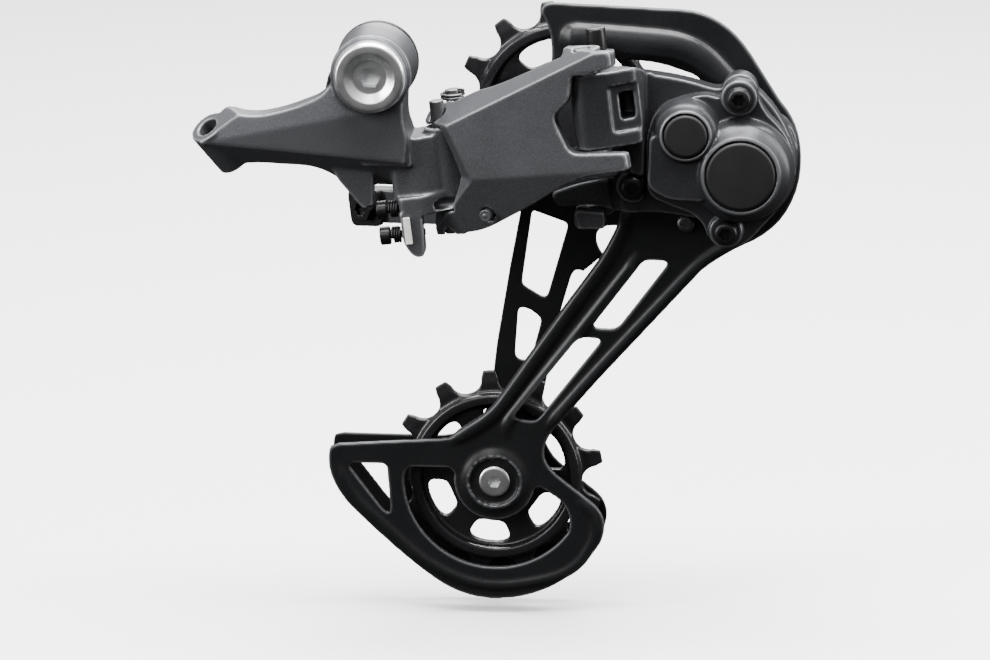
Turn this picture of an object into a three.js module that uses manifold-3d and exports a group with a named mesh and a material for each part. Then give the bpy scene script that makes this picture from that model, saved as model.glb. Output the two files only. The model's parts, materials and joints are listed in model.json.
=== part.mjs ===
// Rear bicycle derailleur with a long cage, a parallelogram linkage and a clutch.
// Millimetres. +X points forward, +Y towards the wheel, +Z up. The origin lies on the axis
// of the hanger bolt, on the face of the boss that rests against the frame's hanger.

import * as THREE from 'three';
import { mergeVertices } from 'three/addons/utils/BufferGeometryUtils.js';
import { ConvexGeometry } from 'three/addons/geometries/ConvexGeometry.js';
import Module from 'manifold-3d';

// ---------------------------------------------------------------- driving dimensions

const GAP = 0.3;                                  // left between pieces that touch
const BOSS = { front: -22, back: 0, radius: 9.5, rearRadius: 10.7, bore: 5.3 };
const CAGE_PIVOT = { x: 94.7, z: -23.9 };
const CAM_AXIS = { x: 80.6, z: -13.7 };
const GUIDE = { x: 47.9, z: -13.7 };
const TENSION = { x: 30, z: -113.3 };
const OUTER_PLATE = { front: 2, back: 4 };
const INNER_PLATE = { front: 14, back: 15.5 };

const PIVOT_TILT = 7;                             // degrees that the link pivots lean to the rear
const LINK_REST = -18;                            // degrees of the links at rest, from +X
const LINK_LENGTH = 42;
const OUTER_PIVOT = { x: 14.85, y: -11 };         // in the tilted frame of the linkage
const INNER_PIVOT = { x: 17.85, y: 2 };
const PIN_RADIUS = 1.9;
const PIN_HOLE = PIN_RADIUS + GAP;
const BARREL = { radius: 4.2, rear: [-38.2, -16.6], front: [-23.7, -4.2] };
const INNER_BARREL = { radius: 3.8, rear: [-34, -18], front: [-22, -6] };
const LUG_RADIUS = 4.6;
const INNER_LUG_RADIUS = 4.2;

const CHAIN_PITCH = 12.7;
const TEETH = 13;
const PITCH_RADIUS = CHAIN_PITCH / (2 * Math.sin(Math.PI / TEETH));
const PULLEY = { y: 9, tooth: 2.3, width: 7, root: 23.2, tip: 28.5, bore: 4.3 };
const PULLEY_RIM = { inner: 19.8, outer: 22.4 };
const PULLEY_HUB = 8.2;
const PULLEY_WINDOW = { inner: 12.6, outer: 18.9, taper: 0.8 };
const BUSHING = { inner: 2.7, outer: 4, span: [5.4, 12.6] };
const WASHER = { inner: 2.7, outer: 7.6, outside: [4.3, 5.1], inside: [12.9, 13.7] };
const COVER = { front: -24, back: -10.7 };
const KNUCKLE = { front: -9.6, back: -3, hubBack: 1.4 };

// ---------------------------------------------------------------- materials

function material(color, roughness, metalness) {
  return new THREE.MeshStandardMaterial({ color, roughness, metalness });
}

const castGrey = material(0x3c3d40, 0.5, 0.6);
const plateGrey = material(0x2c2d30, 0.5, 0.6);
const blackSteel = material(0x0c0c0d, 0.45, 0.5);
const glossBlack = material(0x080808, 0.3, 0);
const brightSteel = material(0xb9bcc0, 0.3, 1);
const capGrey = material(0x36373a, 0.7, 0);
const whitePlastic = material(0xe8e8e6, 0.5, 0);
const bronze = material(0x8a6a3c, 0.45, 0.9);

// ---------------------------------------------------------------- solids: make, join, cut

const wasm = await Module();
wasm.setup();

function solid(geometry) {
  const bare = geometry.index ? geometry.toNonIndexed() : geometry.clone();
  bare.deleteAttribute('normal');
  bare.deleteAttribute('uv');
  const merged = mergeVertices(bare, 1e-4);
  return new wasm.Manifold(new wasm.Mesh({
    numProp: 3,
    vertProperties: new Float32Array(merged.attributes.position.array),
    triVerts: new Uint32Array(merged.index.array),
  }));
}

function geometryOf(body) {
  const { vertProperties, triVerts } = body.getMesh();
  const geometry = new THREE.BufferGeometry();
  geometry.setAttribute('position', new THREE.BufferAttribute(vertProperties, 3));
  geometry.setIndex(new THREE.BufferAttribute(triVerts, 1));
  return geometry;
}

const join = (...bodies) => bodies.reduce((whole, body) => whole.add(body));
const cut = (whole, ...tools) => tools.reduce((rest, tool) => rest.subtract(tool), whole);

// Removes all of a body that lies on the side of the plane which the normal points to.
function shave(body, [x, y, z], normal) {
  const size = 300;
  const block = new THREE.BoxGeometry(size, size, size);
  block.translate(0, 0, size / 2);
  const up = new THREE.Vector3(0, 0, 1);
  const turn = new THREE.Quaternion().setFromUnitVectors(up, new THREE.Vector3(...normal).normalize());
  block.applyQuaternion(turn);
  block.translate(x, y, z);
  return body.subtract(solid(block));
}

// ---------------------------------------------------------------- shapes along Y

// A closed outline from corners [x, z, round], where round is how far each side is cut back
// to round the corner off.
function outline(corners, Kind = THREE.Shape) {
  const shape = new Kind();
  const towards = (from, to, distance) => {
    const length = Math.hypot(to[0] - from[0], to[1] - from[1]);
    const step = Math.min(distance, length / 2) / length;
    return [from[0] + (to[0] - from[0]) * step, from[1] + (to[1] - from[1]) * step];
  };
  corners.forEach((corner, index) => {
    const before = corners[(index + corners.length - 1) % corners.length];
    const after = corners[(index + 1) % corners.length];
    const round = corner[2] ?? 0;
    const enter = towards(corner, before, round);
    const leave = towards(corner, after, round);
    if (index === 0) shape.moveTo(...enter);
    else shape.lineTo(...enter);
    if (round > 0) shape.quadraticCurveTo(corner[0], corner[1], ...leave);
  });
  shape.closePath();
  return shape;
}

// A flat piece: an outline in X and Z, from the lower to the higher Y.
function slab(shape, low, high, steps = 2) {
  const geometry = new THREE.ExtrudeGeometry(shape, {
    depth: high - low,
    bevelEnabled: false,
    curveSegments: steps,
  });
  geometry.rotateX(Math.PI / 2);
  geometry.translate(0, high, 0);
  return solid(geometry);
}

function rod(x, z, radius, low, high, sides = 16) {
  const geometry = new THREE.CylinderGeometry(radius, radius, high - low, sides);
  geometry.translate(x, (low + high) / 2, z);
  return solid(geometry);
}

// A turned piece: [radius, y] points of half its section, which starts and ends on the axis.
function turned(points, x = 0, z = 0, sides = 20) {
  const geometry = new THREE.LatheGeometry(points.map((point) => new THREE.Vector2(...point)), sides);
  geometry.translate(x, 0, z);
  return solid(geometry);
}

function ring(x, z, inner, outer, low, high, sides = 18) {
  return cut(rod(x, z, outer, low, high, sides), rod(x, z, inner, low - 1, high + 1, sides));
}

function hexSocket(x, z, flats, low, high) {
  const geometry = new THREE.CylinderGeometry(flats / Math.sqrt(3), flats / Math.sqrt(3), high - low, 6);
  geometry.translate(x, (low + high) / 2, z);
  return solid(geometry);
}

function block([x0, x1], [y0, y1], [z0, z1]) {
  const geometry = new THREE.BoxGeometry(x1 - x0, y1 - y0, z1 - z0);
  geometry.translate((x0 + x1) / 2, (y0 + y1) / 2, (z0 + z1) / 2);
  return geometry;
}

// A rod between two points in space.
function bar(start, end, radius, sides = 16) {
  const from = new THREE.Vector3(...start);
  const along = new THREE.Vector3(...end).sub(from);
  const geometry = new THREE.CylinderGeometry(radius, radius, along.length(), sides);
  geometry.applyQuaternion(new THREE.Quaternion().setFromUnitVectors(
    new THREE.Vector3(0, 1, 0), along.clone().normalize()));
  const middle = from.addScaledVector(along, 0.5);
  geometry.translate(middle.x, middle.y, middle.z);
  return solid(geometry);
}

// A coil spring round an axis along Y, its wire an open tube with closed ends.
const COIL_STEPS = 9;

function coil(x, z, radius, wire, low, high, turns) {
  const points = [];
  const steps = turns * COIL_STEPS;
  for (let step = 0; step <= steps; step += 1) {
    const angle = (step / COIL_STEPS) * 2 * Math.PI;
    const y = low + wire + (high - low - 2 * wire) * (step / steps);
    points.push(new THREE.Vector3(x + radius * Math.cos(angle), y, z + radius * Math.sin(angle)));
  }
  const section = new THREE.Shape();
  section.absarc(0, 0, wire, 0, 2 * Math.PI);
  return solid(new THREE.ExtrudeGeometry(section, {
    steps,
    curveSegments: 1.5,
    extrudePath: new THREE.CatmullRomCurve3(points),
  }));
}

// ---------------------------------------------------------------- the tilted frame of the linkage

const degrees = THREE.MathUtils.degToRad;
const tiltFrame = new THREE.Matrix4().makeRotationY(degrees(-PIVOT_TILT));

// The frame of a link: its origin on the pivot at the bracket, +X along the link.
function linkFrame(pivot) {
  return tiltFrame.clone()
    .multiply(new THREE.Matrix4().makeTranslation(pivot.x, pivot.y, 0))
    .multiply(new THREE.Matrix4().makeRotationZ(degrees(LINK_REST)));
}

const outerFrame = linkFrame(OUTER_PIVOT);
const innerFrame = linkFrame(INNER_PIVOT);

function farPivot(pivot) {
  const angle = degrees(LINK_REST);
  return { x: pivot.x + LINK_LENGTH * Math.cos(angle), y: pivot.y + LINK_LENGTH * Math.sin(angle) };
}

const OUTER_FAR = farPivot(OUTER_PIVOT);
const INNER_FAR = farPivot(INNER_PIVOT);

// An upright rod in a frame, round the frame's point x, y.
function post(frame, x, y, radius, [low, high], sides = 16) {
  const geometry = new THREE.CylinderGeometry(radius, radius, high - low, sides);
  geometry.rotateX(Math.PI / 2);
  geometry.translate(x, y, (low + high) / 2);
  return solid(geometry.applyMatrix4(frame));
}

const boxIn = (frame, xs, ys, zs) => solid(block(xs, ys, zs).applyMatrix4(frame));

// An upright column in a frame, its outline given by corners [x, y].
function column(frame, corners, [low, high]) {
  const shape = outline(corners);
  const geometry = new THREE.ExtrudeGeometry(shape, {
    depth: high - low,
    bevelEnabled: false,
    curveSegments: 2,
  });
  geometry.translate(0, 0, low);
  return solid(geometry.applyMatrix4(frame));
}

function slabIn(frame, shape, low, high, steps = 2) {
  const geometry = new THREE.ExtrudeGeometry(shape, {
    depth: high - low,
    bevelEnabled: false,
    curveSegments: steps,
  });
  geometry.rotateX(Math.PI / 2);
  geometry.translate(0, high, 0);
  return solid(geometry.applyMatrix4(frame));
}

// ---------------------------------------------------------------- the assembly

const group = new THREE.Group();

function piece(name, body, finish) {
  const mesh = new THREE.Mesh(geometryOf(body), finish);
  mesh.name = name;
  group.add(mesh);
}

// ---------------------------------------------------------------- bracket end

const CABLE_STOP = { face: [-42.7, -16, -14.9], inward: [0.5, 0.44, -0.75], length: 13 };
const LIMIT_SCREW = {
  y: -15.4, upper: -36.2, lower: -43, radius: 1.2, head: 2.4, bore: 1.5, lowTip: 7, highTip: 8.4,
};
const B_SCREW = { y: -5.2, z: -15.5, radius: 1.5 };

const alongStop = (distance) => CABLE_STOP.face.map(
  (value, axis) => value + CABLE_STOP.inward[axis] * distance);

function bracketKnuckle() {
  const boss = turned([
    [0, BOSS.front], [BOSS.radius, BOSS.front], [BOSS.radius, -18], [10.2, -6], [BOSS.rearRadius, -2.6],
    [8, -2.6], [8, BOSS.back], [0, BOSS.back],
  ], 0, 0, 26);
  const armOutline = outline([
    [-9.5, -1, 0], [-12.5, -5.8, 3], [-22.5, -9.8, 4], [-31, -11.6, 4], [-38, -9.8, 2], [-45, -18, 2],
    [-37.5, -25.5, 2], [-30.5, -24.3, 3], [-14, -24.8, 5], [-7, -30.5, 2], [8, -30.5, 0],
    [9.4, -16, 2], [8.2, -12.5, 3], [8, -4, 0],
  ]);
  let arm = slab(armOutline, -20, -11.5);
  arm = shave(arm, [-39.7, -20, -18.7], [-0.058, -0.705, -0.705]);
  arm = shave(arm, [-22, -20, -14], [-0.04, -0.98, 0.2]);
  arm = shave(arm, CABLE_STOP.face, CABLE_STOP.inward.map((value) => -value));
  const web = slab(outline([
    [-12, -21, 0], [-9.6, -27.6, 2], [-2.6, -35.9, 1], [0.2, -35.9, 0.5], [0.2, -21, 0],
  ]), -16, -12);
  const neck = slab(outline([
    [-9.4, -1, 0], [-9, -14, 3], [-2, -24, 0], [10.4, -24, 0], [9.6, -16, 2], [8.2, -12.5, 3], [8.4, -3, 0],
  ]), -19, -3.5);
  const rearBlock = column(tiltFrame, [
    [1, -17.4, 3], [9, -17.4, 2], [14.85, -15.2, 2], [14.85, -6.8, 0], [20.5, 0.6, 0], [15.2, 4.6, 2],
    [9.6, -2.6, 2], [2.5, -5, 2],
  ], INNER_BARREL.rear);
  const lowerBlock = column(tiltFrame, [
    [2.5, -18.8, 2], [8.6, -18.8, 2], [14.85, -15.2, 1], [14.85, -6.8, 0], [2.5, -8.6, 2],
  ], [BARREL.rear[0], INNER_BARREL.rear[0] + 1]);
  const barrels = join(
    post(tiltFrame, OUTER_PIVOT.x, OUTER_PIVOT.y, BARREL.radius, BARREL.rear, 16),
    post(tiltFrame, INNER_PIVOT.x, INNER_PIVOT.y, INNER_BARREL.radius, INNER_BARREL.rear, 16),
  );
  const limitLug = slabIn(tiltFrame, outline([
    [2.6, -37, 0], [2.6, -45, 2], [5, -49, 2], [7.8, -49, 1.5], [8.3, -43, 2], [8.3, -37, 0],
  ]), -18.8, -12.4);
  const stopLug = slab(outline([[-25, -19, 2], [-19, -19, 1], [-19, -12.5, 1], [-25, -12.5, 2]]), -13, -2);
  const cableStop = bar(alongStop(0), alongStop(CABLE_STOP.length), 4.9, 24);
  const whole = join(boss, arm, web, neck, rearBlock, lowerBlock, barrels, limitLug, stopLug, cableStop);
  const limitBores = [LIMIT_SCREW.upper, LIMIT_SCREW.lower].map((height) => {
    const bore = bar([-6, LIMIT_SCREW.y, height], [18, LIMIT_SCREW.y, height], LIMIT_SCREW.bore, 12);
    return solid(geometryOf(bore).applyMatrix4(tiltFrame));
  });
  return cut(
    whole,
    rod(0, 0, BOSS.bore, -40, 10, 24),
    rod(0, 0, BOSS.radius + 1.2, -40, BOSS.front, 24),
    post(tiltFrame, OUTER_PIVOT.x, OUTER_PIVOT.y, PIN_HOLE, [-50, 0], 10),
    post(tiltFrame, INNER_PIVOT.x, INNER_PIVOT.y, PIN_HOLE, [-50, 0], 10),
    post(tiltFrame, OUTER_PIVOT.x, OUTER_PIVOT.y, 7.4, [-50, BARREL.rear[0]], 20),
    bar(alongStop(-2), alongStop(9), 2.7, 16),
    bar(alongStop(5), alongStop(20), 1.2, 10),
    bar([-30, B_SCREW.y, B_SCREW.z], [-10, B_SCREW.y, B_SCREW.z], B_SCREW.radius + GAP, 12),
    ...limitBores,
  );
}

function hangerBolt() {
  const body = turned([
    [0, -22.6], [4.9, -22.6], [6.8, -24.2], [8.4, -24.2], [9.2, -23.6], [9.2, BOSS.front - GAP],
    [4.9, BOSS.front - GAP], [4.9, 7.6], [4.1, 8.6], [0, 8.6],
  ], 0, 0, 28);
  return cut(body, hexSocket(0, 0, 5, -25, -18));
}

function stopPlate() {
  const tab = slab(outline([[-8, -5, 0], [-13, -17.5, 1.5], [-16, -17.5, 1.5], [-12.5, -2, 2]]), -2.3, -0.3);
  const foot = solid(block([-16, -13.6], [-7.4, -0.3], [-17.5, -13.5]));
  const disc = join(rod(0, 0, 10.7, -2.3, -0.3, 28), tab, foot);
  return cut(disc, rod(0, 0, 8.3, -5, 3, 28));
}

function limitScrew(height, tip) {
  const head = bar([-3.4, LIMIT_SCREW.y, height], [-0.8, LIMIT_SCREW.y, height], LIMIT_SCREW.head, 14);
  const shank = bar([-1.2, LIMIT_SCREW.y, height], [tip, LIMIT_SCREW.y, height], LIMIT_SCREW.radius, 12);
  const slot = solid(block(
    [-4, -2.4],
    [LIMIT_SCREW.y - 3, LIMIT_SCREW.y + 3],
    [height - 0.35, height + 0.35],
  ));
  return solid(geometryOf(cut(join(head, shank), slot)).applyMatrix4(tiltFrame));
}

function limitSpring(height) {
  const spring = coil(0, 0, 1.95, 0.3, -0.45, 2.25, 3);
  const geometry = geometryOf(spring).rotateZ(-Math.PI / 2);
  return solid(geometry.translate(0, LIMIT_SCREW.y, height).applyMatrix4(tiltFrame));
}

piece('bracket_knuckle', bracketKnuckle(), castGrey);
piece('hanger_bolt', hangerBolt(), brightSteel);
piece('hanger_stop_plate', stopPlate(), blackSteel);
piece('b_tension_screw', join(
  bar([-30, B_SCREW.y, B_SCREW.z], [-27.4, B_SCREW.y, B_SCREW.z], 2.6, 14),
  bar([-28, B_SCREW.y, B_SCREW.z], [-16.4, B_SCREW.y, B_SCREW.z], B_SCREW.radius, 12),
), blackSteel);
piece('limit_screw_low', limitScrew(LIMIT_SCREW.upper, LIMIT_SCREW.lowTip), blackSteel);
piece('limit_screw_high', limitScrew(LIMIT_SCREW.lower, LIMIT_SCREW.highTip), blackSteel);
piece('limit_spring_low', limitSpring(LIMIT_SCREW.upper), blackSteel);
piece('limit_spring_high', limitSpring(LIMIT_SCREW.lower), blackSteel);
piece('limit_label', boxIn(tiltFrame, [3.4, 5.2], [-19.8, -19.1], [-45, -38]), whitePlastic);

// ---------------------------------------------------------------- links

// The outer link is a channel: a front wall, with a flange above and below that ends in the lugs.
const CHANNEL = { front: -6.4, wall: -3.3, back: 2.4 };

// The half of space on the outer side of a plane of the outer link, between two heights.
function slice([x, y, z], normal, [low, high] = [-80, 40]) {
  const size = 160;
  const geometry = new THREE.BoxGeometry(size, size, size);
  geometry.translate(0, 0, size / 2);
  const direction = new THREE.Vector3(...normal).normalize();
  geometry.applyQuaternion(new THREE.Quaternion().setFromUnitVectors(new THREE.Vector3(0, 0, 1), direction));
  geometry.translate(x, y, z);
  const band = solid(block([-80, 120], [-80, 80], [low, high]).applyMatrix4(outerFrame));
  return solid(geometry.applyMatrix4(outerFrame)).intersect(band);
}

function outerLink() {
  const face = outline([
    [-3.2, -9.6, 1], [14, -7.9, 6], [28, -3, 6], [42, 2.1, 6], [51.8, 2.1, 1.2], [51.9, -2.2, 1],
    [40.6, -3.9, 1.5], [39.3, -10, 2], [34.2, -14, 2.5], [37.8, -23.9, 2.5], [53, -24.1, 1],
    [53.4, -28.6, 1], [38, -30.3, 6], [24.4, -37.6, 5], [9.2, -44.4, 4], [-2.6, -45.2, 1.5],
    [-3.2, -38.6, 1.5], [2.2, -38, 2], [6.4, -29.5, 4], [2.2, -16.8, 2], [-3.2, -16.4, 1],
  ]);
  const channel = outline([
    [-6, -16.4, 0], [4, -16.4, 2], [34, -6.2, 2], [36.4, -3.9, 1], [60, -3.9, 0], [60, -24, 0],
    [36, -24.2, 2], [32, -27.6, 2], [8, -38.4, 2], [-6, -38.4, 0],
  ]);
  const fin = boxIn(outerFrame, [LINK_LENGTH + 3.2, 60], [-3.4, 10], [-60, 20]);
  const lugs = [
    [0, [-16.4, -9.6]], [0, [-45.2, -38.6]], [LINK_LENGTH, [-3.9, 2.1]], [LINK_LENGTH, [-28.6, -24]],
  ].map(([x, span]) => post(outerFrame, x, 0, LUG_RADIUS, span));
  const strikeTab = boxIn(outerFrame, [-4.3, 0], [-6.2, -2], [-45.2, -38.6]);
  const shell = cut(
    slabIn(outerFrame, face, CHANNEL.front, CHANNEL.back),
    slabIn(outerFrame, channel, CHANNEL.wall, CHANNEL.back + 4),
    fin,
    slice([4.6, CHANNEL.front, -15.2], [-0.332, -0.448, 0.83]),
    slice([9.9, CHANNEL.front, -29.8], [0.008, -0.957, -0.289]),
    slice([9.9, CHANNEL.front, -29.8], [-0.6, -0.77, -0.22], [-29.8, 0]),
    slice([9.9, CHANNEL.front, -29.8], [-0.52, -0.8, 0.28], [-60, -29.8]),
  );
  const clearance = (x, [low, high]) => post(
    outerFrame, x, 0, BARREL.radius + 0.5, [low - GAP, high + GAP]);
  return cut(
    join(shell, ...lugs, strikeTab),
    clearance(0, BARREL.rear),
    clearance(LINK_LENGTH, BARREL.front),
    post(outerFrame, 0, 0, PIN_HOLE, [-60, 10], 10),
    post(outerFrame, LINK_LENGTH, 0, PIN_HOLE, [-60, 10], 10),
    rivet(GAP),
  );
}

// A pressed pin in the lower slope of the outer link: it strikes the bracket at the low-gear stop.
function rivet(extra = 0) {
  return solid(geometryOf(rod(12, -39.6, 1.6 + extra, -5.2, 3, 12)).applyMatrix4(outerFrame));
}

const CABLE_LEVER = { turn: 169, reach: 35, levels: [-46, -36.7] };

function innerLink() {
  const face = outline([
    [0, -13.7, 1], [LINK_LENGTH, -1.7, 1], [LINK_LENGTH, -26.3, 1], [0, -38.3, 1],
  ]);
  const lugs = [
    [0, [-17.7, -13.7]], [0, [CABLE_LEVER.levels[0], -34.3]],
    [LINK_LENGTH, [-5.7, -1.7]], [LINK_LENGTH, [-26.3, -22.3]],
  ].map(([x, span]) => post(innerFrame, x, 0, INNER_LUG_RADIUS, span));
  const lever = solid(block([0, CABLE_LEVER.reach], [-2.2, 2.2], CABLE_LEVER.levels)
    .rotateZ(degrees(CABLE_LEVER.turn)).applyMatrix4(innerFrame));
  const clearance = [[0, INNER_BARREL.rear], [LINK_LENGTH, INNER_BARREL.front]].map(
    ([x, [low, high]]) => post(innerFrame, x, 0, INNER_BARREL.radius + 0.6, [low - GAP, high + GAP], 16));
  return cut(
    join(slabIn(innerFrame, face, -1.4, 1.8), ...lugs, lever),
    ...clearance,
    post(innerFrame, 0, 0, PIN_HOLE, [-60, 10], 10),
    post(innerFrame, LINK_LENGTH, 0, PIN_HOLE, [-60, 10], 10),
    clampBolt(0.3),
  );
}

// The frame of the cable lever: +X along it from the pivot, -Y its clamping face.
const leverFrame = innerFrame.clone().multiply(new THREE.Matrix4().makeRotationZ(degrees(CABLE_LEVER.turn)));
const CLAMP = { x: 30, z: -41.4 };

function inLever(body) {
  return solid(geometryOf(body).applyMatrix4(leverFrame));
}

function clampBolt(extra = 0) {
  const shank = rod(CLAMP.x, CLAMP.z, 2.3 + extra, -3, 5.2, 12);
  const head = hexSocket(CLAMP.x, CLAMP.z, 6 + 2 * extra, 4.3 - extra, 6.2);
  return inLever(extra ? shank : join(shank, head));
}

function clampPlate() {
  const plate = slab(outline([
    [CLAMP.x - 5, -46.4, 2], [CLAMP.x + 5, -46.4, 2], [CLAMP.x + 5, -36.4, 2], [CLAMP.x - 5, -36.4, 2],
  ]), 2.5, 4.1);
  const groove = solid(block([CLAMP.x - 6, CLAMP.x + 6], [2, 3.1], [-45.7, -44.5]));
  return inLever(cut(plate, groove, rod(CLAMP.x, CLAMP.z, 2.6, 0, 6, 14)));
}

function pivotPin(frame, x, [low, high]) {
  return post(frame, x, 0, PIN_RADIUS, [low, high], 10);
}

piece('outer_link', outerLink(), castGrey);
piece('link_rivet', rivet(), brightSteel);
piece('inner_link', innerLink(), castGrey);
piece('outer_pin_rear', pivotPin(outerFrame, 0, [-45, -9.4]), brightSteel);
piece('outer_pin_front', pivotPin(outerFrame, LINK_LENGTH, [-28.4, 1.9]), brightSteel);
piece('inner_pin_rear', pivotPin(innerFrame, 0, [-45.8, -9.9]), brightSteel);
piece('inner_pin_front', join(
  pivotPin(innerFrame, LINK_LENGTH, [-26.8, 0]),
  post(innerFrame, LINK_LENGTH, 0, 2.5, [-1.3, 4.6], 16),
), blackSteel);
piece('cable_clamp_bolt', clampBolt(), blackSteel);
piece('cable_clamp_plate', clampPlate(), blackSteel);

// The return spring winds round the top of the rear inner pin, above the lug.
piece('link_return_spring', solid(geometryOf(coil(0, 0, 2.9, 0.4, -2.4, 0, 2)).rotateX(Math.PI / 2)
  .translate(0, 0, -10.2).applyMatrix4(innerFrame)), brightSteel);

// ---------------------------------------------------------------- changer knuckle and clutch

const STOP_EAR = { x: 90.9, z: -40.1, radius: 4.3, seat: -16.8 };
const TOP_EAR = { x: 93.9, z: -4.9, radius: 4.6, seat: -18 };
const FOOT_SCREW = { x: 66.8, z: -29.2, radius: 4.3, seat: -14.2 };
const SCREW_HOLE = 1.5;
const CHAMBER = { front: -21.8, radius: 10.2, camRadius: 5.4 };
const AXLE = { radius: 3.3, front: -20.4 };
const FRONT_LUG = [-23.7, -6.1];                  // heights of the knuckle's front column

function changerKnuckle() {
  const base = slab(outline([
    [62, 2.6, 0], [78.6, -1, 6], [88.6, -4.6, 3], [96, -2, 4], [104, -10, 6], [110, -23.9, 8],
    [104.5, -36, 8], [92, -40.5, 4], [85.4, -38.8, 0.6], [75, -36.9, 4], [63, -37.2, 3], [57, -35, 5],
    [47.4, -36, 1.5], [45, -32.6, 2], [52, -29.6, 5], [63.4, -27.4, 2], [63.4, -4, 2],
  ]), KNUCKLE.front, KNUCKLE.back);
  const hub = slab(outline([
    [81.6, -15, 5], [87, -10.5, 5], [95, -9.4, 6], [108, -13, 8], [109.6, -27, 8], [103, -38.6, 7],
    [93, -42.4, 3], [85.4, -41.2, 0.5], [85.4, -38.8, 0.3], [77.4, -38.5, 0.6], [80.2, -31.4, 1],
    [81.4, -26, 3],
  ]), KNUCKLE.back - 1, KNUCKLE.hubBack);
  const front = column(tiltFrame, [
    [54.8, -28.2, 1.5], [62, -27.2, 2], [68, -24.6, 2], [69.5, -12, 0], [69.5, -6.6, 0], [57.8, -7.2, 0],
    [57.6, -14.6, 1.5], [54.8, -20, 0],
  ], FRONT_LUG);
  const upper = column(tiltFrame, [
    [54.8, -28.2, 1.5], [62, -27.2, 2], [68, -24.6, 2], [69.5, -16.2, 0], [62.6, -16.2, 1],
    [57.4, -16.8, 1], [54.8, -20, 0],
  ], [-6.2, -4.2]);
  const side = column(tiltFrame, [
    [62.6, -16.4, 1], [71, -16.4, 0], [71, -4, 0], [62.6, -4, 0],
  ], [-34, -3.2]);
  const skirt = column(tiltFrame, [
    [67.6, -24.6, 2], [71, -24.6, 1], [71, -10, 0], [67.6, -10, 0],
  ], [-29.5, -20]);
  const footBoss = rod(
    FOOT_SCREW.x, FOOT_SCREW.z, FOOT_SCREW.radius, FOOT_SCREW.seat, KNUCKLE.front + 1, 20);
  const topEar = rod(TOP_EAR.x, TOP_EAR.z, TOP_EAR.radius, KNUCKLE.front, KNUCKLE.back, 20);
  const stopEar = rod(STOP_EAR.x, STOP_EAR.z, STOP_EAR.radius, KNUCKLE.front, KNUCKLE.back, 20);
  const barrels = join(
    post(tiltFrame, OUTER_FAR.x, OUTER_FAR.y, BARREL.radius, BARREL.front, 16),
    post(tiltFrame, INNER_FAR.x, INNER_FAR.y, INNER_BARREL.radius, INNER_BARREL.front, 16),
  );
  const coverSide = solid(block([69.8, 130], [-40, KNUCKLE.front], [-60, 20]));
  const pocket = boxIn(tiltFrame, [61.5, 66.5], [-30, -18], [-18.5, -9]);
  return cut(
    join(base, hub, front, upper, side, skirt, footBoss, topEar, stopEar, barrels),
    coverSide,
    pocket,
    rod(FOOT_SCREW.x, FOOT_SCREW.z, 3.7, -40, FOOT_SCREW.seat, 16),
    post(tiltFrame, OUTER_FAR.x, OUTER_FAR.y, PIN_HOLE, [-50, 20], 10),
    post(tiltFrame, INNER_FAR.x, INNER_FAR.y, PIN_HOLE, [-50, 20], 10),
    post(tiltFrame, INNER_FAR.x, INNER_FAR.y, INNER_LUG_RADIUS + 0.4, [-6, 20], 20),
    post(tiltFrame, INNER_FAR.x, INNER_FAR.y, INNER_LUG_RADIUS + 0.4, [-28, -22], 20),
    rod(CAGE_PIVOT.x, CAGE_PIVOT.z, 5.2, -12, 4, 24),
    ring(CAGE_PIVOT.x, CAGE_PIVOT.z, 6.1, 9.1, -7.4, 4, 24),
    rod(CAM_AXIS.x, CAM_AXIS.z, 2.2, -12, 4, 14),
    rod(TOP_EAR.x, TOP_EAR.z, SCREW_HOLE, -12, 4, 12),
    rod(STOP_EAR.x, STOP_EAR.z, SCREW_HOLE, -12, 4, 12),
    rod(FOOT_SCREW.x, FOOT_SCREW.z, SCREW_HOLE, -20, 4, 12),
  );
}

function coverOutline() {
  return outline([
    [74, -7, 6], [85.5, -4.4, 3], [89.6, -5.8, 2], [90, -1.2, 3], [97.6, -1, 3], [99.6, -8, 4],
    [107.5, -16, 7], [109.4, -28, 8], [101, -38, 6], [95.4, -44.2, 3.5], [87, -43.8, 3.5],
    [84.4, -36.4, 4], [76, -33.5, 5], [70.6, -31, 3], [70.2, -14, 5],
  ]);
}

// The opening between the chamber of the clutch and that of its cam.
function chamberPassage(low, high) {
  return slab(outline([[79, -17, 0], [88, -14, 0], [90, -24, 0], [82, -19, 0]]), low, high);
}

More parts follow.
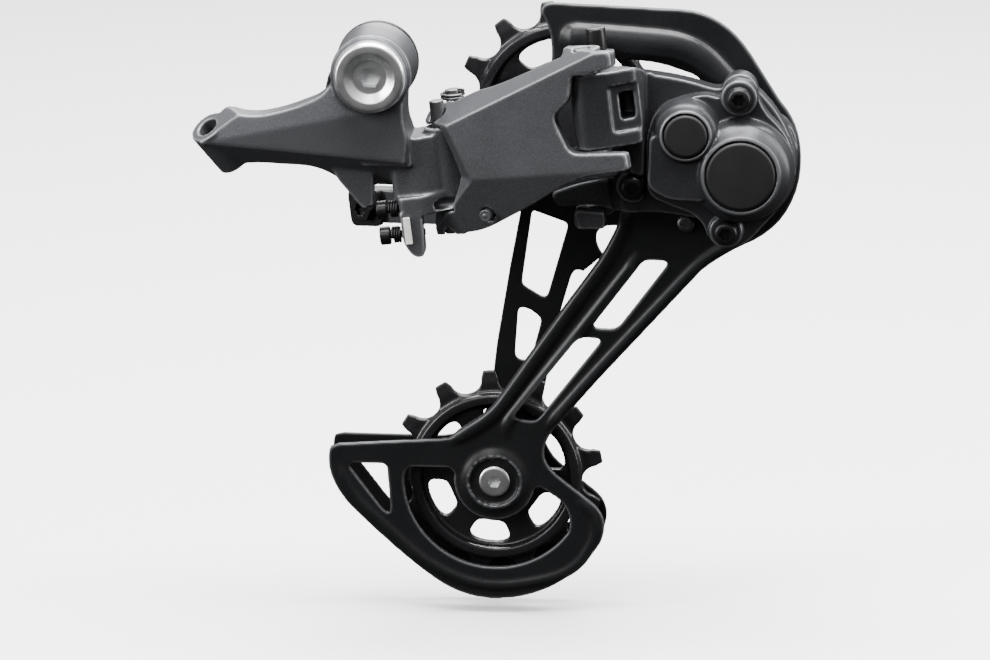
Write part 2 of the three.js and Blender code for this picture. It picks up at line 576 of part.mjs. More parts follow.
function clutchCover() {
  const skirt = slab(coverOutline(), -15.6, COVER.back);
  const footBlock = slab(outline([
    [71.4, -14, 2], [86, -14, 0], [86, -31, 2], [76, -30.6, 3], [71, -27.4, 2],
  ]), -22.4, -15);
  const smallBoss = turned([
    [0, COVER.front], [6.4, COVER.front], [7.3, COVER.front + 2.4], [8.2, -15], [8.2, -14], [0, -14],
  ], CAM_AXIS.x, CAM_AXIS.z, 22);
  const bigBoss = turned([
    [0, COVER.front], [9.8, COVER.front], [12.2, COVER.front + 4], [13.6, -15], [13.6, -13], [0, -13],
  ], CAGE_PIVOT.x, CAGE_PIVOT.z, 28);
  const topEar = rod(TOP_EAR.x, TOP_EAR.z, TOP_EAR.radius, TOP_EAR.seat, -13, 20);
  const stopEar = rod(STOP_EAR.x, STOP_EAR.z, STOP_EAR.radius, STOP_EAR.seat, -13, 20);
  return cut(
    join(skirt, footBlock, smallBoss, bigBoss, topEar, stopEar),
    rod(CAGE_PIVOT.x, CAGE_PIVOT.z, CHAMBER.radius, CHAMBER.front, -5, 28),
    rod(CAM_AXIS.x, CAM_AXIS.z, CHAMBER.camRadius, CHAMBER.front, -5, 20),
    chamberPassage(CHAMBER.front, -5),
    rod(CAGE_PIVOT.x, CAGE_PIVOT.z, 9.1, -26, COVER.front + 0.8, 28),
    rod(CAM_AXIS.x, CAM_AXIS.z, 5.8, -26, COVER.front + 0.8, 24),
    rod(TOP_EAR.x, TOP_EAR.z, SCREW_HOLE, -26, -5, 12),
    rod(STOP_EAR.x, STOP_EAR.z, SCREW_HOLE, -26, -5, 12),
  );
}

// A screw whose head stands just clear of the ear it holds down.
function coverScrew({ x, z, seat }) {
  const under = seat - GAP;
  const head = turned([
    [0, under - 2.6], [2.6, under - 2.6], [3.2, under - 2], [3.2, under], [0, under],
  ], x, z, 14);
  const shank = rod(x, z, 1.2, under - 0.5, -4, 10);
  return cut(join(head, shank), hexSocket(x, z, 2.4, under - 3, under - 1.2));
}

function gasket() {
  return cut(
    slab(coverOutline(), -10.4, -9.9),
    rod(CAGE_PIVOT.x, CAGE_PIVOT.z, CHAMBER.radius, -12, -8, 28),
    rod(CAM_AXIS.x, CAM_AXIS.z, CHAMBER.camRadius, -12, -8, 20),
    chamberPassage(-12, -8),
    rod(TOP_EAR.x, TOP_EAR.z, 1.6, -12, -8, 12),
    rod(STOP_EAR.x, STOP_EAR.z, 1.6, -12, -8, 12),
  );
}

function frictionBand() {
  const { x, z } = CAGE_PIVOT;
  const band = ring(x, z, 6.6, 7.6, -19.4, -12.4, 20);
  const mouth = solid(block([x - 12, x - 4], [-22, -10], [z + 3.4, z + 5.4]));
  const upperEar = slab(outline([
    [89.9, -18.9, 0], [88.4, -18.3, 0], [85.2, -16.9, 0], [85.2, -16, 0], [90.4, -17, 0], [91.4, -18, 0],
  ]), -19.4, -12.4);
  return join(cut(band, mouth), upperEar);
}

function clutchCam() {
  const { x, z } = CAM_AXIS;
  const lobe = slab(outline([
    [x - 2.6, z - 2.6, 2], [x + 3.6, z - 1.6, 1.6], [x + 3.6, z + 1.6, 1.6], [x - 2.6, z + 2.6, 2],
  ]), -19, -12.6);
  return join(rod(x, z, 2.6, -20.4, -11, 18), lobe);
}

function clutchLever() {
  const arm = slab(outline([
    [79.4, -9.8, 3], [84.6, -13, 3], [81.4, -17.8, 3], [60.6, -39.4, 1.5], [55.2, -41.2, 1],
    [53.4, -37.6, 1], [74.8, -14.6, 3],
  ]), -2.6, -1.4);
  const tab = slab(outline([
    [51.4, -37.2, 1], [59.2, -36.8, 1], [59.4, -42.2, 1], [51.4, -42.4, 1],
  ]), -7, -1.4);
  return join(arm, tab, rod(CAM_AXIS.x, CAM_AXIS.z, 1.8, -10.6, -1.4, 14));
}

// The space behind the knuckle that the lever sweeps.
function leverRelief() {
  return slab(outline([
    [78.6, -8, 3], [87, -12.4, 3], [83.4, -19.6, 3], [74, -32, 2], [56, -45, 2], [48, -40, 2],
    [73.6, -12.4, 3],
  ]), -2.6 - GAP, 4);
}

piece('changer_knuckle', cut(changerKnuckle(), leverRelief()), castGrey);
piece('clutch_cover', clutchCover(), castGrey);
piece('cover_gasket', gasket(), blackSteel);
piece('cover_screw_top', coverScrew(TOP_EAR), blackSteel);
piece('cover_screw_bottom', coverScrew(STOP_EAR), blackSteel);
piece('foot_screw', coverScrew(FOOT_SCREW), blackSteel);
piece('large_cap', turned([
  [0, -24.5], [8.2, -24.5], [8.8, -24.1], [8.8, COVER.front + 0.5], [0, COVER.front + 0.5],
], CAGE_PIVOT.x, CAGE_PIVOT.z, 32), capGrey);
piece('small_cap', turned([
  [0, -24.5], [5.1, -24.5], [5.5, -24.1], [5.5, COVER.front + 0.5], [0, COVER.front + 0.5],
], CAM_AXIS.x, CAM_AXIS.z, 24), capGrey);
piece('pivot_bushing', ring(CAGE_PIVOT.x, CAGE_PIVOT.z, 3.7, 4.9, -9.4, 1.2, 16), bronze);
piece('cage_spring', coil(CAGE_PIVOT.x, CAGE_PIVOT.z, 7.6, 0.75, -7, 1.2, 4), brightSteel);
piece('one_way_sleeve', ring(CAGE_PIVOT.x, CAGE_PIVOT.z, 3.7, 6.0, -19.6, -12, 16), brightSteel);
piece('friction_band', frictionBand(), brightSteel);
piece('clutch_cam', clutchCam(), brightSteel);
piece('clutch_lever', clutchLever(), capGrey);

// ---------------------------------------------------------------- cage plates

const STOP_SCREW = { x: 80, z: -41.9 };
const BOLT_HOLE = 2.8;

// The chain guard below the tension pulley: from its rear tip round to the foot of the arm.
function guardSweep(shape) {
  shape.moveTo(-13.8, -105);
  shape.quadraticCurveTo(-15.8, -112.5, -8.6, -120.9);
  shape.quadraticCurveTo(8.5, -138, 26.6, -145.8);
  shape.absarc(TENSION.x, TENSION.z, 32.7, degrees(264), degrees(330), false);
  shape.quadraticCurveTo(61, -122.8, 55.4, -118.6);
  shape.lineTo(46.3, -111.4);
}

function guardCrescent() {
  const hole = new THREE.Shape();
  hole.absarc(TENSION.x, TENSION.z, 24, degrees(180), degrees(325), false);
  hole.quadraticCurveTo(51, -121, 46.3, -117.5);
  hole.lineTo(43, -115.2);
  hole.quadraticCurveTo(41.2, -114.3, 40.4, -116);
  hole.absarc(TENSION.x, TENSION.z, 10.8, degrees(345), degrees(172), true);
  hole.quadraticCurveTo(18.9, -109.9, 16.6, -109.9);
  hole.lineTo(8.6, -109.9);
  hole.quadraticCurveTo(6, -109.9, 6, -113.3);
  return hole;
}

const guardWindow = () => outline([[-9.4, -109.3, 2.2], [1.3, -109.3, 1.4], [2.5, -125, 4.6]]);

const through = (shape) => slab(shape, -20, 30);

function outerPlate() {
  const shape = new THREE.Shape();
  guardSweep(shape);
  shape.quadraticCurveTo(40, -106, 46, -98.5);
  shape.lineTo(57.8, -84.6);
  shape.lineTo(84, -55.2);
  shape.quadraticCurveTo(88, -51.6, 95, -48);
  shape.quadraticCurveTo(107, -43, 109.3, -30);
  shape.quadraticCurveTo(111, -17, 104, -9.6);
  shape.lineTo(96.4, 2.4);
  shape.quadraticCurveTo(89, 13.7, 78, 14);
  shape.lineTo(45.5, 15.3);
  shape.quadraticCurveTo(42, 15.4, 42, 12.6);
  shape.quadraticCurveTo(45.6, 8, 44.6, -2);
  shape.absarc(GUIDE.x, GUIDE.z, 8.6, degrees(150), degrees(262), false);
  shape.lineTo(57, -26);
  shape.quadraticCurveTo(63.6, -31, 63.6, -40);
  shape.quadraticCurveTo(63.4, -46, 58.4, -51.3);
  shape.lineTo(47.7, -66.3);
  shape.lineTo(37.5, -80.9);
  shape.lineTo(28.6, -94.4);
  shape.quadraticCurveTo(24.6, -101.4, 15.5, -102.2);
  shape.lineTo(-11.5, -104.1);
  shape.closePath();
  const bulge = slab(outline([
    [46.6, 9.6, 2], [60, 8.8, 4], [80, 7, 4], [87, 3.6, 4], [93.4, -6, 2], [88, -7, 3], [82, -1.6, 4],
    [70, 2.4, 4], [50, 4, 3],
  ]), -0.8, OUTER_PLATE.front + 0.5);
  return cut(
    join(
      slab(shape, OUTER_PLATE.front, OUTER_PLATE.back, 5),
      shave(bulge, [60, -0.8, 6.6], [0, -0.75, 0.66]),
      turned([[0, 0.6], [6.2, 0.6], [9.3, 2.2], [9.3, 3], [0, 3]], TENSION.x, TENSION.z, 28),
    ),
    through(outline([[54, 1.4, 2.5], [72, 0.2, 4], [84.4, -3.8, 3], [80.6, -10, 3], [58, -7.6, 3]])),
    through(outline([[69.2, -52.4, 1.8], [76, -52.7, 2.2], [62.2, -71.4, 2], [55.2, -71.2, 2.2]])),
    through(outline([[52, -73.7, 2], [58.7, -73.9, 2.4], [41, -97, 2], [34.6, -96, 2.2]])),
    through(guardCrescent()),
    through(guardWindow()),
    rod(TENSION.x, TENSION.z, 6.6, -2, 1.9, 24),
    rod(TENSION.x, TENSION.z, BOLT_HOLE, -2, 6, 16),
    rod(GUIDE.x, GUIDE.z, BOLT_HOLE, -2, 6, 16),
    rod(CAGE_PIVOT.x, CAGE_PIVOT.z, 4.6, -2, 6, 24),
    rod(STOP_SCREW.x, STOP_SCREW.z, 1.6, -2, 6, 12),
  );
}

function innerPlate() {
  const shape = new THREE.Shape();
  guardSweep(shape);
  shape.quadraticCurveTo(41.6, -107, 41, -98);
  shape.lineTo(46.7, -69.2);
  shape.lineTo(49.3, -60.2);
  shape.quadraticCurveTo(50.4, -57.4, 52.5, -58.8);
  shape.lineTo(57.8, -54.3);
  shape.quadraticCurveTo(55.2, -50.6, 56.2, -48.1);
  shape.quadraticCurveTo(57, -46, 62.2, -46.1);
  shape.lineTo(65.6, -40);
  shape.quadraticCurveTo(66, -32, 56.6, -18);
  shape.absarc(GUIDE.x, GUIDE.z, 9, degrees(-25), degrees(205), false);
  shape.lineTo(36.4, -40);
  shape.lineTo(33.2, -57.3);
  shape.lineTo(29.6, -79.2);
  shape.lineTo(28.2, -92);
  shape.quadraticCurveTo(26.4, -104.4, 14, -104.6);
  shape.lineTo(-11.5, -104.4);
  shape.closePath();
  return cut(
    slab(shape, INNER_PLATE.front, INNER_PLATE.back, 5),
    through(outline([[39, -42.4, 1], [48.6, -45.8, 1.4], [42.8, -66.6, 2], [36.2, -62.6, 1.4]])),
    through(outline([
      [35.4, -68.6, 1.6], [38.6, -69.4, 1], [41.6, -71.8, 1.4], [38.6, -83.6, 2], [34.4, -83, 2],
    ])),
    through(guardCrescent()),
    through(guardWindow()),
    rod(TENSION.x, TENSION.z, BOLT_HOLE, 10, 20, 16),
    rod(GUIDE.x, GUIDE.z, BOLT_HOLE, 10, 20, 16),
  );
}

function cageAxle() {
  const { x, z } = CAGE_PIVOT;
  return turned([
    [0, AXLE.front], [AXLE.radius, AXLE.front], [AXLE.radius, 1.7], [4.2, 1.7], [4.2, 4.3], [5.6, 4.3],
    [5.6, 5], [0, 5],
  ], x, z, 18);
}

function pulleyBolt({ x, z }) {
  return turned([
    [0, 0.9], [2.4, 0.9], [4.1, 1.0], [4.1, 1.6], [2.4, 1.6], [2.4, 16.4], [0, 16.4],
  ], x, z, 16);
}

piece('outer_plate', outerPlate(), plateGrey);
piece('inner_plate', innerPlate(), blackSteel);
piece('cage_axle', cageAxle(), brightSteel);
piece('stop_screw', cut(
  join(
    rod(STOP_SCREW.x, STOP_SCREW.z, 2.35, -1, 1.7, 18),
    rod(STOP_SCREW.x, STOP_SCREW.z, 1.3, 1, 4, 12),
  ),
  hexSocket(STOP_SCREW.x, STOP_SCREW.z, 2.2, -2, 0.2),
), blackSteel);

// ---------------------------------------------------------------- pulleys

function toothedOutline(turn) {
  const shape = new THREE.Shape();
  const step = (2 * Math.PI) / TEETH;
  const at = (radius, angle) => [radius * Math.cos(angle), radius * Math.sin(angle)];
  const flank = [
    [PULLEY.root, -0.5], [PULLEY.root, -0.32], [PITCH_RADIUS, -0.14], [PULLEY.tip, -0.07],
    [PULLEY.tip, 0.07], [PITCH_RADIUS, 0.14], [PULLEY.root, 0.32],
  ];
  for (let tooth = 0; tooth < TEETH; tooth += 1) {
    flank.forEach(([radius, share], index) => {
      const point = at(radius, turn + (tooth + share) * step);
      if (tooth === 0 && index === 0) shape.moveTo(...point);
      else shape.lineTo(...point);
    });
  }
  shape.closePath();
  return shape;
}

function pulley({ x, z }, turn, windows, windowTurn, spoke) {
  const { y, tooth, width } = PULLEY;
  const disc = slab(toothedOutline(turn), y - tooth / 2, y + tooth / 2);
  const rim = ring(0, 0, PULLEY_RIM.inner, PULLEY_RIM.outer, y - width / 2, y + width / 2, 26);
  const hub = rod(0, 0, PULLEY_HUB, y - width / 2, y + width / 2, 20);
  const cutters = [];
  for (let index = 0; index < windows; index += 1) {
    const middle = windowTurn + (index * 2 * Math.PI) / windows;
    const half = Math.PI / windows - spoke;
    const window = new THREE.Shape();
    const narrow = half * PULLEY_WINDOW.taper;
    window.absarc(0, 0, PULLEY_WINDOW.outer, middle - half, middle + half, false);
    window.absarc(0, 0, PULLEY_WINDOW.inner, middle + narrow, middle - narrow, true);
    cutters.push(slab(window, 0, 20, 2));
  }
  const wheel = cut(join(disc, rim, hub), ...cutters, rod(0, 0, PULLEY.bore, 0, 20, 14));
  return wheel.translate([x, 0, z]);
}

const pulleys = [
  { name: 'guide', axis: GUIDE, turn: 127.3, windows: 5, windowTurn: 112, spoke: 12 },
  { name: 'tension', axis: TENSION, turn: 149.4, windows: 6, windowTurn: 24, spoke: 10 },
];

for (const { name, axis, turn, windows, windowTurn, spoke } of pulleys) {
  const wheel = pulley(axis, degrees(turn), windows, degrees(windowTurn), degrees(spoke));
  const washer = (span) => ring(axis.x, axis.z, WASHER.inner, WASHER.outer, ...span, 16);
  piece(`${name}_pulley`, wheel, glossBlack);
  const bushing = ring(axis.x, axis.z, BUSHING.inner, BUSHING.outer, ...BUSHING.span, 14);
  piece(`${name}_bushing`, bushing, brightSteel);
  piece(`${name}_bolt`, pulleyBolt(axis), brightSteel);
  piece(`${name}_washer_outer`, washer(WASHER.outside), blackSteel);
  piece(`${name}_washer_inner`, washer(WASHER.inside), blackSteel);
}

export default group;
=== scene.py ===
import json
import math

import bmesh
import bpy
import numpy as np
from mathutils import Matrix, Vector


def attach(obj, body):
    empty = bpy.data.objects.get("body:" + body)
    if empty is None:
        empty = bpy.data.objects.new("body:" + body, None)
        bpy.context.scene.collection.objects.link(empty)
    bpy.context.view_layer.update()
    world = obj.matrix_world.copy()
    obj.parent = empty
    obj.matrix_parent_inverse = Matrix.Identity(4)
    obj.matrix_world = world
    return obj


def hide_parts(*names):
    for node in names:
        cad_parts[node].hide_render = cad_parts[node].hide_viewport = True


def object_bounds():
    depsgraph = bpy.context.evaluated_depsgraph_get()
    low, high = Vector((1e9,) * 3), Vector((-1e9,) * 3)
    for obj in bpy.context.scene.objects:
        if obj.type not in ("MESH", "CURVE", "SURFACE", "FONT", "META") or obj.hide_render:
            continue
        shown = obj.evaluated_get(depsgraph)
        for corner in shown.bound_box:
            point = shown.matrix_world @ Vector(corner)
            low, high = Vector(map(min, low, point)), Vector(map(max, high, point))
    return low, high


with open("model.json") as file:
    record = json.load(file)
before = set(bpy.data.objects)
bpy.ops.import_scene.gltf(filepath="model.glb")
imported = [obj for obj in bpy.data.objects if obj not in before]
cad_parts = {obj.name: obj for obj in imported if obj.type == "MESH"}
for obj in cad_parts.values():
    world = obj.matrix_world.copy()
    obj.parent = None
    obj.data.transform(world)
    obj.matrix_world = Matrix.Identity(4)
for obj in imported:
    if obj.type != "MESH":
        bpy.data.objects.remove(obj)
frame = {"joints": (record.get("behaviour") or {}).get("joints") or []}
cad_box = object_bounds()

scene = bpy.context.scene


# ---------------------------------------------------------------- camera, floor and studio light
# A long lens a little above the derailleur and a little to its front. The floor is a plain pale
# sheet just under the cage, lit by soft boxes above, to the left and behind.

FLOOR_GAP = 0.004
AIM = Vector((0.03068, -0.005, -0.07024))
VIEW_FORWARD = math.radians(4.5)        # how far round to the front the camera stands
VIEW_ABOVE = math.radians(14.5)
VIEW_DISTANCE = 1.25
EYE = AIM + VIEW_DISTANCE * Vector((
    math.sin(VIEW_FORWARD) * math.cos(VIEW_ABOVE),
    -math.cos(VIEW_FORWARD) * math.cos(VIEW_ABOVE),
    math.sin(VIEW_ABOVE),
))


def aimed(thing, place, target):
    thing.location = place
    thing.rotation_euler = (target - place).to_track_quat("-Z", "Y").to_euler()
    scene.collection.objects.link(thing)


camera = bpy.data.objects.new("camera", bpy.data.cameras.new("camera"))
camera.data.lens = 174.09
camera.data.sensor_width = 36
camera.data.clip_start = 0.05
aimed(camera, EYE, AIM)
scene.camera = camera


def soft_box(name, place, width, height, power):
    lamp = bpy.data.lights.new(name, "AREA")
    lamp.shape = "RECTANGLE"
    lamp.size = width
    lamp.size_y = height
    lamp.energy = power
    aimed(bpy.data.objects.new(name, lamp), Vector(place), AIM)


soft_box("top_box", (0.05, -0.1, 0.95), 0.9, 0.6, 50)
soft_box("left_box", (-0.85, -0.5, 0.35), 0.22, 0.9, 14)
soft_box("right_box", (0.8, -0.05, 0.3), 0.2, 0.9, 10)
soft_box("front_box", (-0.35, -1.25, 0.85), 0.6, 0.4, 6)
soft_box("rear_box", (0.1, 0.9, 0.6), 0.9, 0.4, 14)


def studio_sky():
    """Even light from above that fades to a dark horizon, so that undersides stay dark."""
    sky = bpy.data.worlds.new("studio")
    sky.use_nodes = True
    tree = sky.node_tree
    place = tree.nodes.new("ShaderNodeTexCoord")
    split = tree.nodes.new("ShaderNodeSeparateXYZ")
    fade = tree.nodes.new("ShaderNodeMapRange")
    fade.inputs["From Min"].default_value = -0.18
    fade.inputs["From Max"].default_value = 0.6
    fade.inputs["To Min"].default_value = 0.05
    fade.inputs["To Max"].default_value = 0.6
    tree.links.new(place.outputs["Generated"], split.inputs["Vector"])
    tree.links.new(split.outputs["Z"], fade.inputs["Value"])
    tree.links.new(fade.outputs["Result"], tree.nodes["Background"].inputs["Strength"])
    tree.nodes["Background"].inputs["Color"].default_value = (1, 1, 1, 1)
    scene.world = sky


studio_sky()


def plain_floor():
    half = 6
    height = cad_box[0].z - FLOOR_GAP
    mesh = bpy.data.meshes.new("floor")
    mesh.from_pydata(
        [(-half, -half, height), (half, -half, height), (half, half, height), (-half, half, height)],
        [], [(0, 1, 2, 3)])
    paper = bpy.data.materials.new("floor_paper")
    paper.use_nodes = True
    shader = paper.node_tree.nodes["Principled BSDF"]
    shader.inputs["Base Color"].default_value = (0.97, 0.97, 0.97, 1)
    shader.inputs["Roughness"].default_value = 0.9
    mesh.materials.append(paper)
    floor = bpy.data.objects.new("floor", mesh)
    floor.visible_diffuse = False
    floor.visible_glossy = False
    scene.collection.objects.link(floor)


plain_floor()


# ---------------------------------------------------------------- bracket knuckle
# The part that bolts to the bicycle: a die-cast aluminium arm with a round boss for the hanger bolt,
# a stop for the cable housing at its rear end, and the rear barrels of both links. It is shot-blasted
# and finished in satin dark grey with a fine metallic grain.

MM = 0.001                  # shapes are worked out in millimetres and put down in metres
CAST_VOXEL = 0.36           # grid that joins a casting's masses, and so the size of its edge radius
CAST_ROUNDS = 7             # passes that soften the edges, as tumbling does
TILT = Matrix.Rotation(math.radians(-7), 4, "Y")
LINK_REST = math.radians(-18)
LINK_LENGTH = 42

joint_at = {joint["name"]: Vector(joint["pos_m"]) / MM for joint in frame["joints"]}
upright = TILT.inverted()
OUTER_PIVOT = upright @ joint_at["outer_link_swing"]
INNER_PIVOT = upright @ joint_at["inner_link_swing"]


def sealed(mesh, slivers=False):
    """Merges a mesh's doubles, takes out its slivers where asked, and turns its faces outwards."""
    shell = bmesh.new()
    shell.from_mesh(mesh)
    bmesh.ops.remove_doubles(shell, verts=shell.verts, dist=1e-4)
    if slivers:
        bmesh.ops.dissolve_degenerate(shell, edges=shell.edges, dist=1e-5)
    bmesh.ops.recalc_face_normals(shell, faces=shell.faces)
    shell.to_mesh(mesh)
    shell.free()
    return mesh


def closed_mesh(points, faces, place=None):
    mesh = bpy.data.meshes.new("shape")
    mesh.from_pydata([tuple(point) for point in points], [], faces)
    if place is not None:
        mesh.transform(place)
    return sealed(mesh)


def rounded(corners, steps=5):
    """The points of an outline given by [u, v, round], each corner cut back by round and curved."""
    points = []
    count = len(corners)
    for index, corner in enumerate(corners):
        here = Vector(corner[:2])
        cutback = corner[2] if len(corner) > 2 else 0
        if cutback == 0:
            points.append(here)
            continue
        ends = []
        for other in (corners[index - 1], corners[(index + 1) % count]):
            side = Vector(other[:2]) - here
            ends.append(here + side * (min(cutback, side.length / 2) / side.length))
        for step in range(steps + 1):
            t = step / steps
            points.append(ends[0] * (1 - t) ** 2 + here * 2 * t * (1 - t) + ends[1] * t ** 2)
    return points


def arc(x, z, radius, start, end, steps=24):
    angles = [math.radians(start + (end - start) * step / steps) for step in range(steps + 1)]
    return [Vector((x + radius * math.cos(a), z + radius * math.sin(a))) for a in angles]


def curved(start, bend, end, steps=8):
    """A quadratic curve between two points, without its first point."""
    start, bend, end = Vector(start), Vector(bend), Vector(end)
    return [start * (1 - t) ** 2 + bend * 2 * t * (1 - t) + end * t ** 2
            for t in (step / steps for step in range(1, steps + 1))]


def prism(outline, low, high, place=None):
    """A flat piece: an outline in X and Z, from the lower to the higher Y."""
    count = len(outline)
    points = [(u, low, v) for u, v in outline] + [(u, high, v) for u, v in outline]
    faces = [list(range(count)), list(range(2 * count - 1, count - 1, -1))]
    faces += [[i, (i + 1) % count, (i + 1) % count + count, i + count] for i in range(count)]
    return closed_mesh(points, faces, place)


def slab(corners, low, high, place=None):
    """A flat piece whose corners are rounded."""
    return prism(rounded(corners), low, high, place)


def column(corners, span, place=TILT):
    """An upright piece in the tilted frame of the linkage: an outline in X and Y between two heights."""
    lying = Matrix(((1, 0, 0, 0), (0, 0, 1, 0), (0, 1, 0, 0), (0, 0, 0, 1)))
    return slab(corners, span[0], span[1], place @ lying)


def turned(profile, x=0, z=0, sides=72, place=None):
    """A lathe piece round an axis along Y, from a half section [radius, y, round] closed on the axis."""
    section = rounded(profile, 4)
    points = []
    faces = []
    for side in range(sides):
        angle = 2 * math.pi * side / sides
        points += [(x + r * math.cos(angle), y, z + r * math.sin(angle)) for r, y in section]
    rows = len(section)
    for side in range(sides):
        here, there = side * rows, (side + 1) % sides * rows
        faces += [[here + i, here + i + 1, there + i + 1, there + i] for i in range(rows - 1)]
    mesh = bpy.data.meshes.new("lathe")
    mesh.from_pydata(points, [], faces)
    sealed(mesh, slivers=True)
    if place is not None:
        mesh.transform(place)
    return mesh


def rod(x, z, radius, low, high, sides=64, place=None):
    return turned([[0, low], [radius, low], [radius, high], [0, high]], x, z, sides, place)


def ring(x, z, inner, outer, low, high, edge=0.0, sides=64):
    section = [[inner, low, edge], [outer, low, edge], [outer, high, edge], [inner, high, edge]]
    points = rounded(section, 3)
    count = len(points)
    spots = []
    faces = []
    for side in range(sides):
        angle = 2 * math.pi * side / sides
        spots += [(x + r * math.cos(angle), y, z + r * math.sin(angle)) for r, y in points]
        here, there = side * count, (side + 1) % sides * count
        faces += [[here + i, here + (i + 1) % count, there + (i + 1) % count, there + i]
                  for i in range(count)]
    return closed_mesh(spots, faces)


def post(place, at, radius, span, sides=48):
    """An upright rod in a frame, round a point of the frame's X and Y."""
    stand = place @ Matrix.Translation((at[0], at[1], 0)) @ Matrix.Rotation(math.radians(90), 4, "X")
    return rod(0, 0, radius, span[0], span[1], sides, stand)


def bar(start, end, radius, sides=48):
    start, along = Vector(start), Vector(end) - Vector(start)
    lay = Matrix.Translation(start) @ Vector((0, 1, 0)).rotation_difference(along).to_matrix().to_4x4()
    return rod(0, 0, radius, 0, along.length, sides, lay)


def block(xs, ys, zs, place=None):
    return prism([(xs[0], zs[0]), (xs[1], zs[0]), (xs[1], zs[1]), (xs[0], zs[1])], ys[0], ys[1], place)


def combined(first, second, operation):
    """One solid from two, by Blender's manifold boolean."""
    one = bpy.data.objects.new("one", first)
    two = bpy.data.objects.new("two", second)
    scene.collection.objects.link(one)
    scene.collection.objects.link(two)
    step = one.modifiers.new("step", "BOOLEAN")
    step.operation = operation
    step.solver = "MANIFOLD"
    step.object = two
    whole = bpy.data.meshes.new_from_object(one.evaluated_get(bpy.context.evaluated_depsgraph_get()))
    for used in (one, two):
        mesh = used.data
        bpy.data.objects.remove(used)
        bpy.data.meshes.remove(mesh)
    return whole


def fused(*shapes):
    whole = shapes[0]
    for shape in shapes[1:]:
        whole = combined(whole, shape, "UNION")
    return whole


def bored(whole, *tools):
    for tool in tools:
        whole = combined(whole, tool, "DIFFERENCE")
    return whole


def half_space(point, normal, place=None):
    """A large block on the side of a plane that the normal points to."""
    turn = Vector((0, 0, 1)).rotation_difference(Vector(normal)).to_matrix().to_4x4()
    stand = Matrix.Translation(point) @ turn
    return block([-90, 90], [-90, 90], [0, 180], stand if place is None else place @ stand)


def put_down(name, mesh, body, node, finish):
    """Puts a finished mesh on its body, in metres, for the node that it replaces. Its slot has the name of
    its finish."""
    mesh.transform(Matrix.Scale(MM, 4))
    mesh.name = name
    mesh.materials.clear()
    mesh.materials.append(finish)
    piece = bpy.data.objects.new(name, mesh)
    scene.collection.objects.link(piece)
    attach(piece, body)
    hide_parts(node)


def mark_edges(mesh, spread=4):
    """Writes how sharply the surface bends outwards, per millimetre, as the attribute that the lighter edge
    colour follows: partly edge wear, partly a painted highlight along the ridges.
    """
    count = len(mesh.vertices)
    spots = np.empty(count * 3)
    normals = np.empty(count * 3)
    ends = np.empty(len(mesh.edges) * 2, int)
    mesh.vertices.foreach_get("co", spots)
    mesh.vertices.foreach_get("normal", normals)
    mesh.edges.foreach_get("vertices", ends)
    spots = spots.reshape(-1, 3)
    normals = normals.reshape(-1, 3)
    first, second = ends[::2], ends[1::2]
    step = spots[second] - spots[first]
    bend = ((normals[second] - normals[first]) * step).sum(1) / np.maximum((step ** 2).sum(1), 1e-9)
    degree = np.bincount(ends, minlength=count)
    edge_wear_and_highlight = np.bincount(first, bend, count) + np.bincount(second, bend, count)
    edge_wear_and_highlight /= np.maximum(degree, 1)
    for _ in range(spread):
        around = np.bincount(first, edge_wear_and_highlight[second], count) + np.bincount(second, edge_wear_and_highlight[first], count)
        edge_wear_and_highlight = (edge_wear_and_highlight + around / np.maximum(degree, 1)) / 2
    attribute = mesh.attributes.new("edge_bend", "FLOAT", "POINT")
    attribute.data.foreach_set("value", edge_wear_and_highlight.astype(np.float32))


def cast(name, mesh, body, node, finish, voxel=CAST_VOXEL, rounds=CAST_ROUNDS):
    """A casting: its masses are run together on a fine grid and all its edges softened."""
    raw = bpy.data.objects.new("raw", mesh)
    scene.collection.objects.link(raw)
    grid = raw.modifiers.new("grid", "REMESH")
    grid.mode = "VOXEL"
    grid.voxel_size = voxel
    soften = raw.modifiers.new("soften", "SMOOTH")
    soften.factor = 0.5
    soften.iterations = rounds
    surface = bpy.data.meshes.new_from_object(raw.evaluated_get(bpy.context.evaluated_depsgraph_get()))
    bpy.data.objects.remove(raw)
    surface.shade_smooth()
    mark_edges(surface)
    put_down(name, surface, body, node, finish)


def machined(name, mesh, body, node, finish, crease=32):
    """A turned or milled piece: its curved faces are smooth, and its edges stay crisp."""
    mesh.shade_smooth()
    shell = bmesh.new()
    shell.from_mesh(mesh)
    for edge in shell.edges:
        edge.smooth = edge.is_manifold and edge.calc_face_angle(0) < math.radians(crease)
    shell.to_mesh(mesh)
    shell.free()
    put_down(name, mesh, body, node, finish)


def shader_of(material):
    return material.node_tree.nodes["Principled BSDF"]


def fresh_finish(name):
    finish = bpy.data.materials.new(name)
    finish.use_nodes = True
    return finish, finish.node_tree, shader_of(finish)


def speckle(tree, scale, detail=2.0, roughness=0.6):
    """Fine noise on the piece's own coordinates, which are in metres."""
    place = tree.nodes.new("ShaderNodeTexCoord")
    noise = tree.nodes.new("ShaderNodeTexNoise")
    noise.inputs["Scale"].default_value = scale
    noise.inputs["Detail"].default_value = detail
    noise.inputs["Roughness"].default_value = roughness
    tree.links.new(place.outputs["Object"], noise.inputs["Vector"])
    return noise.outputs["Fac"]


def between(tree, value, low, high, start=0.3, stop=0.7):
    scaled = tree.nodes.new("ShaderNodeMapRange")
    scaled.inputs["From Min"].default_value = start
    scaled.inputs["From Max"].default_value = stop
    scaled.inputs["To Min"].default_value = low
    scaled.inputs["To Max"].default_value = high
    tree.links.new(value, scaled.inputs["Value"])
    return scaled.outputs["Result"]


def tinted(tree, share, first, second):
    mix = tree.nodes.new("ShaderNodeMix")
    mix.data_type = "RGBA"
    tree.links.new(share, mix.inputs["Factor"])
    for index, colour in ((6, first), (7, second)):
        if isinstance(colour, tuple):
            mix.inputs[index].default_value = (*colour, 1)
        else:
            tree.links.new(colour, mix.inputs[index])
    return mix.outputs[2]


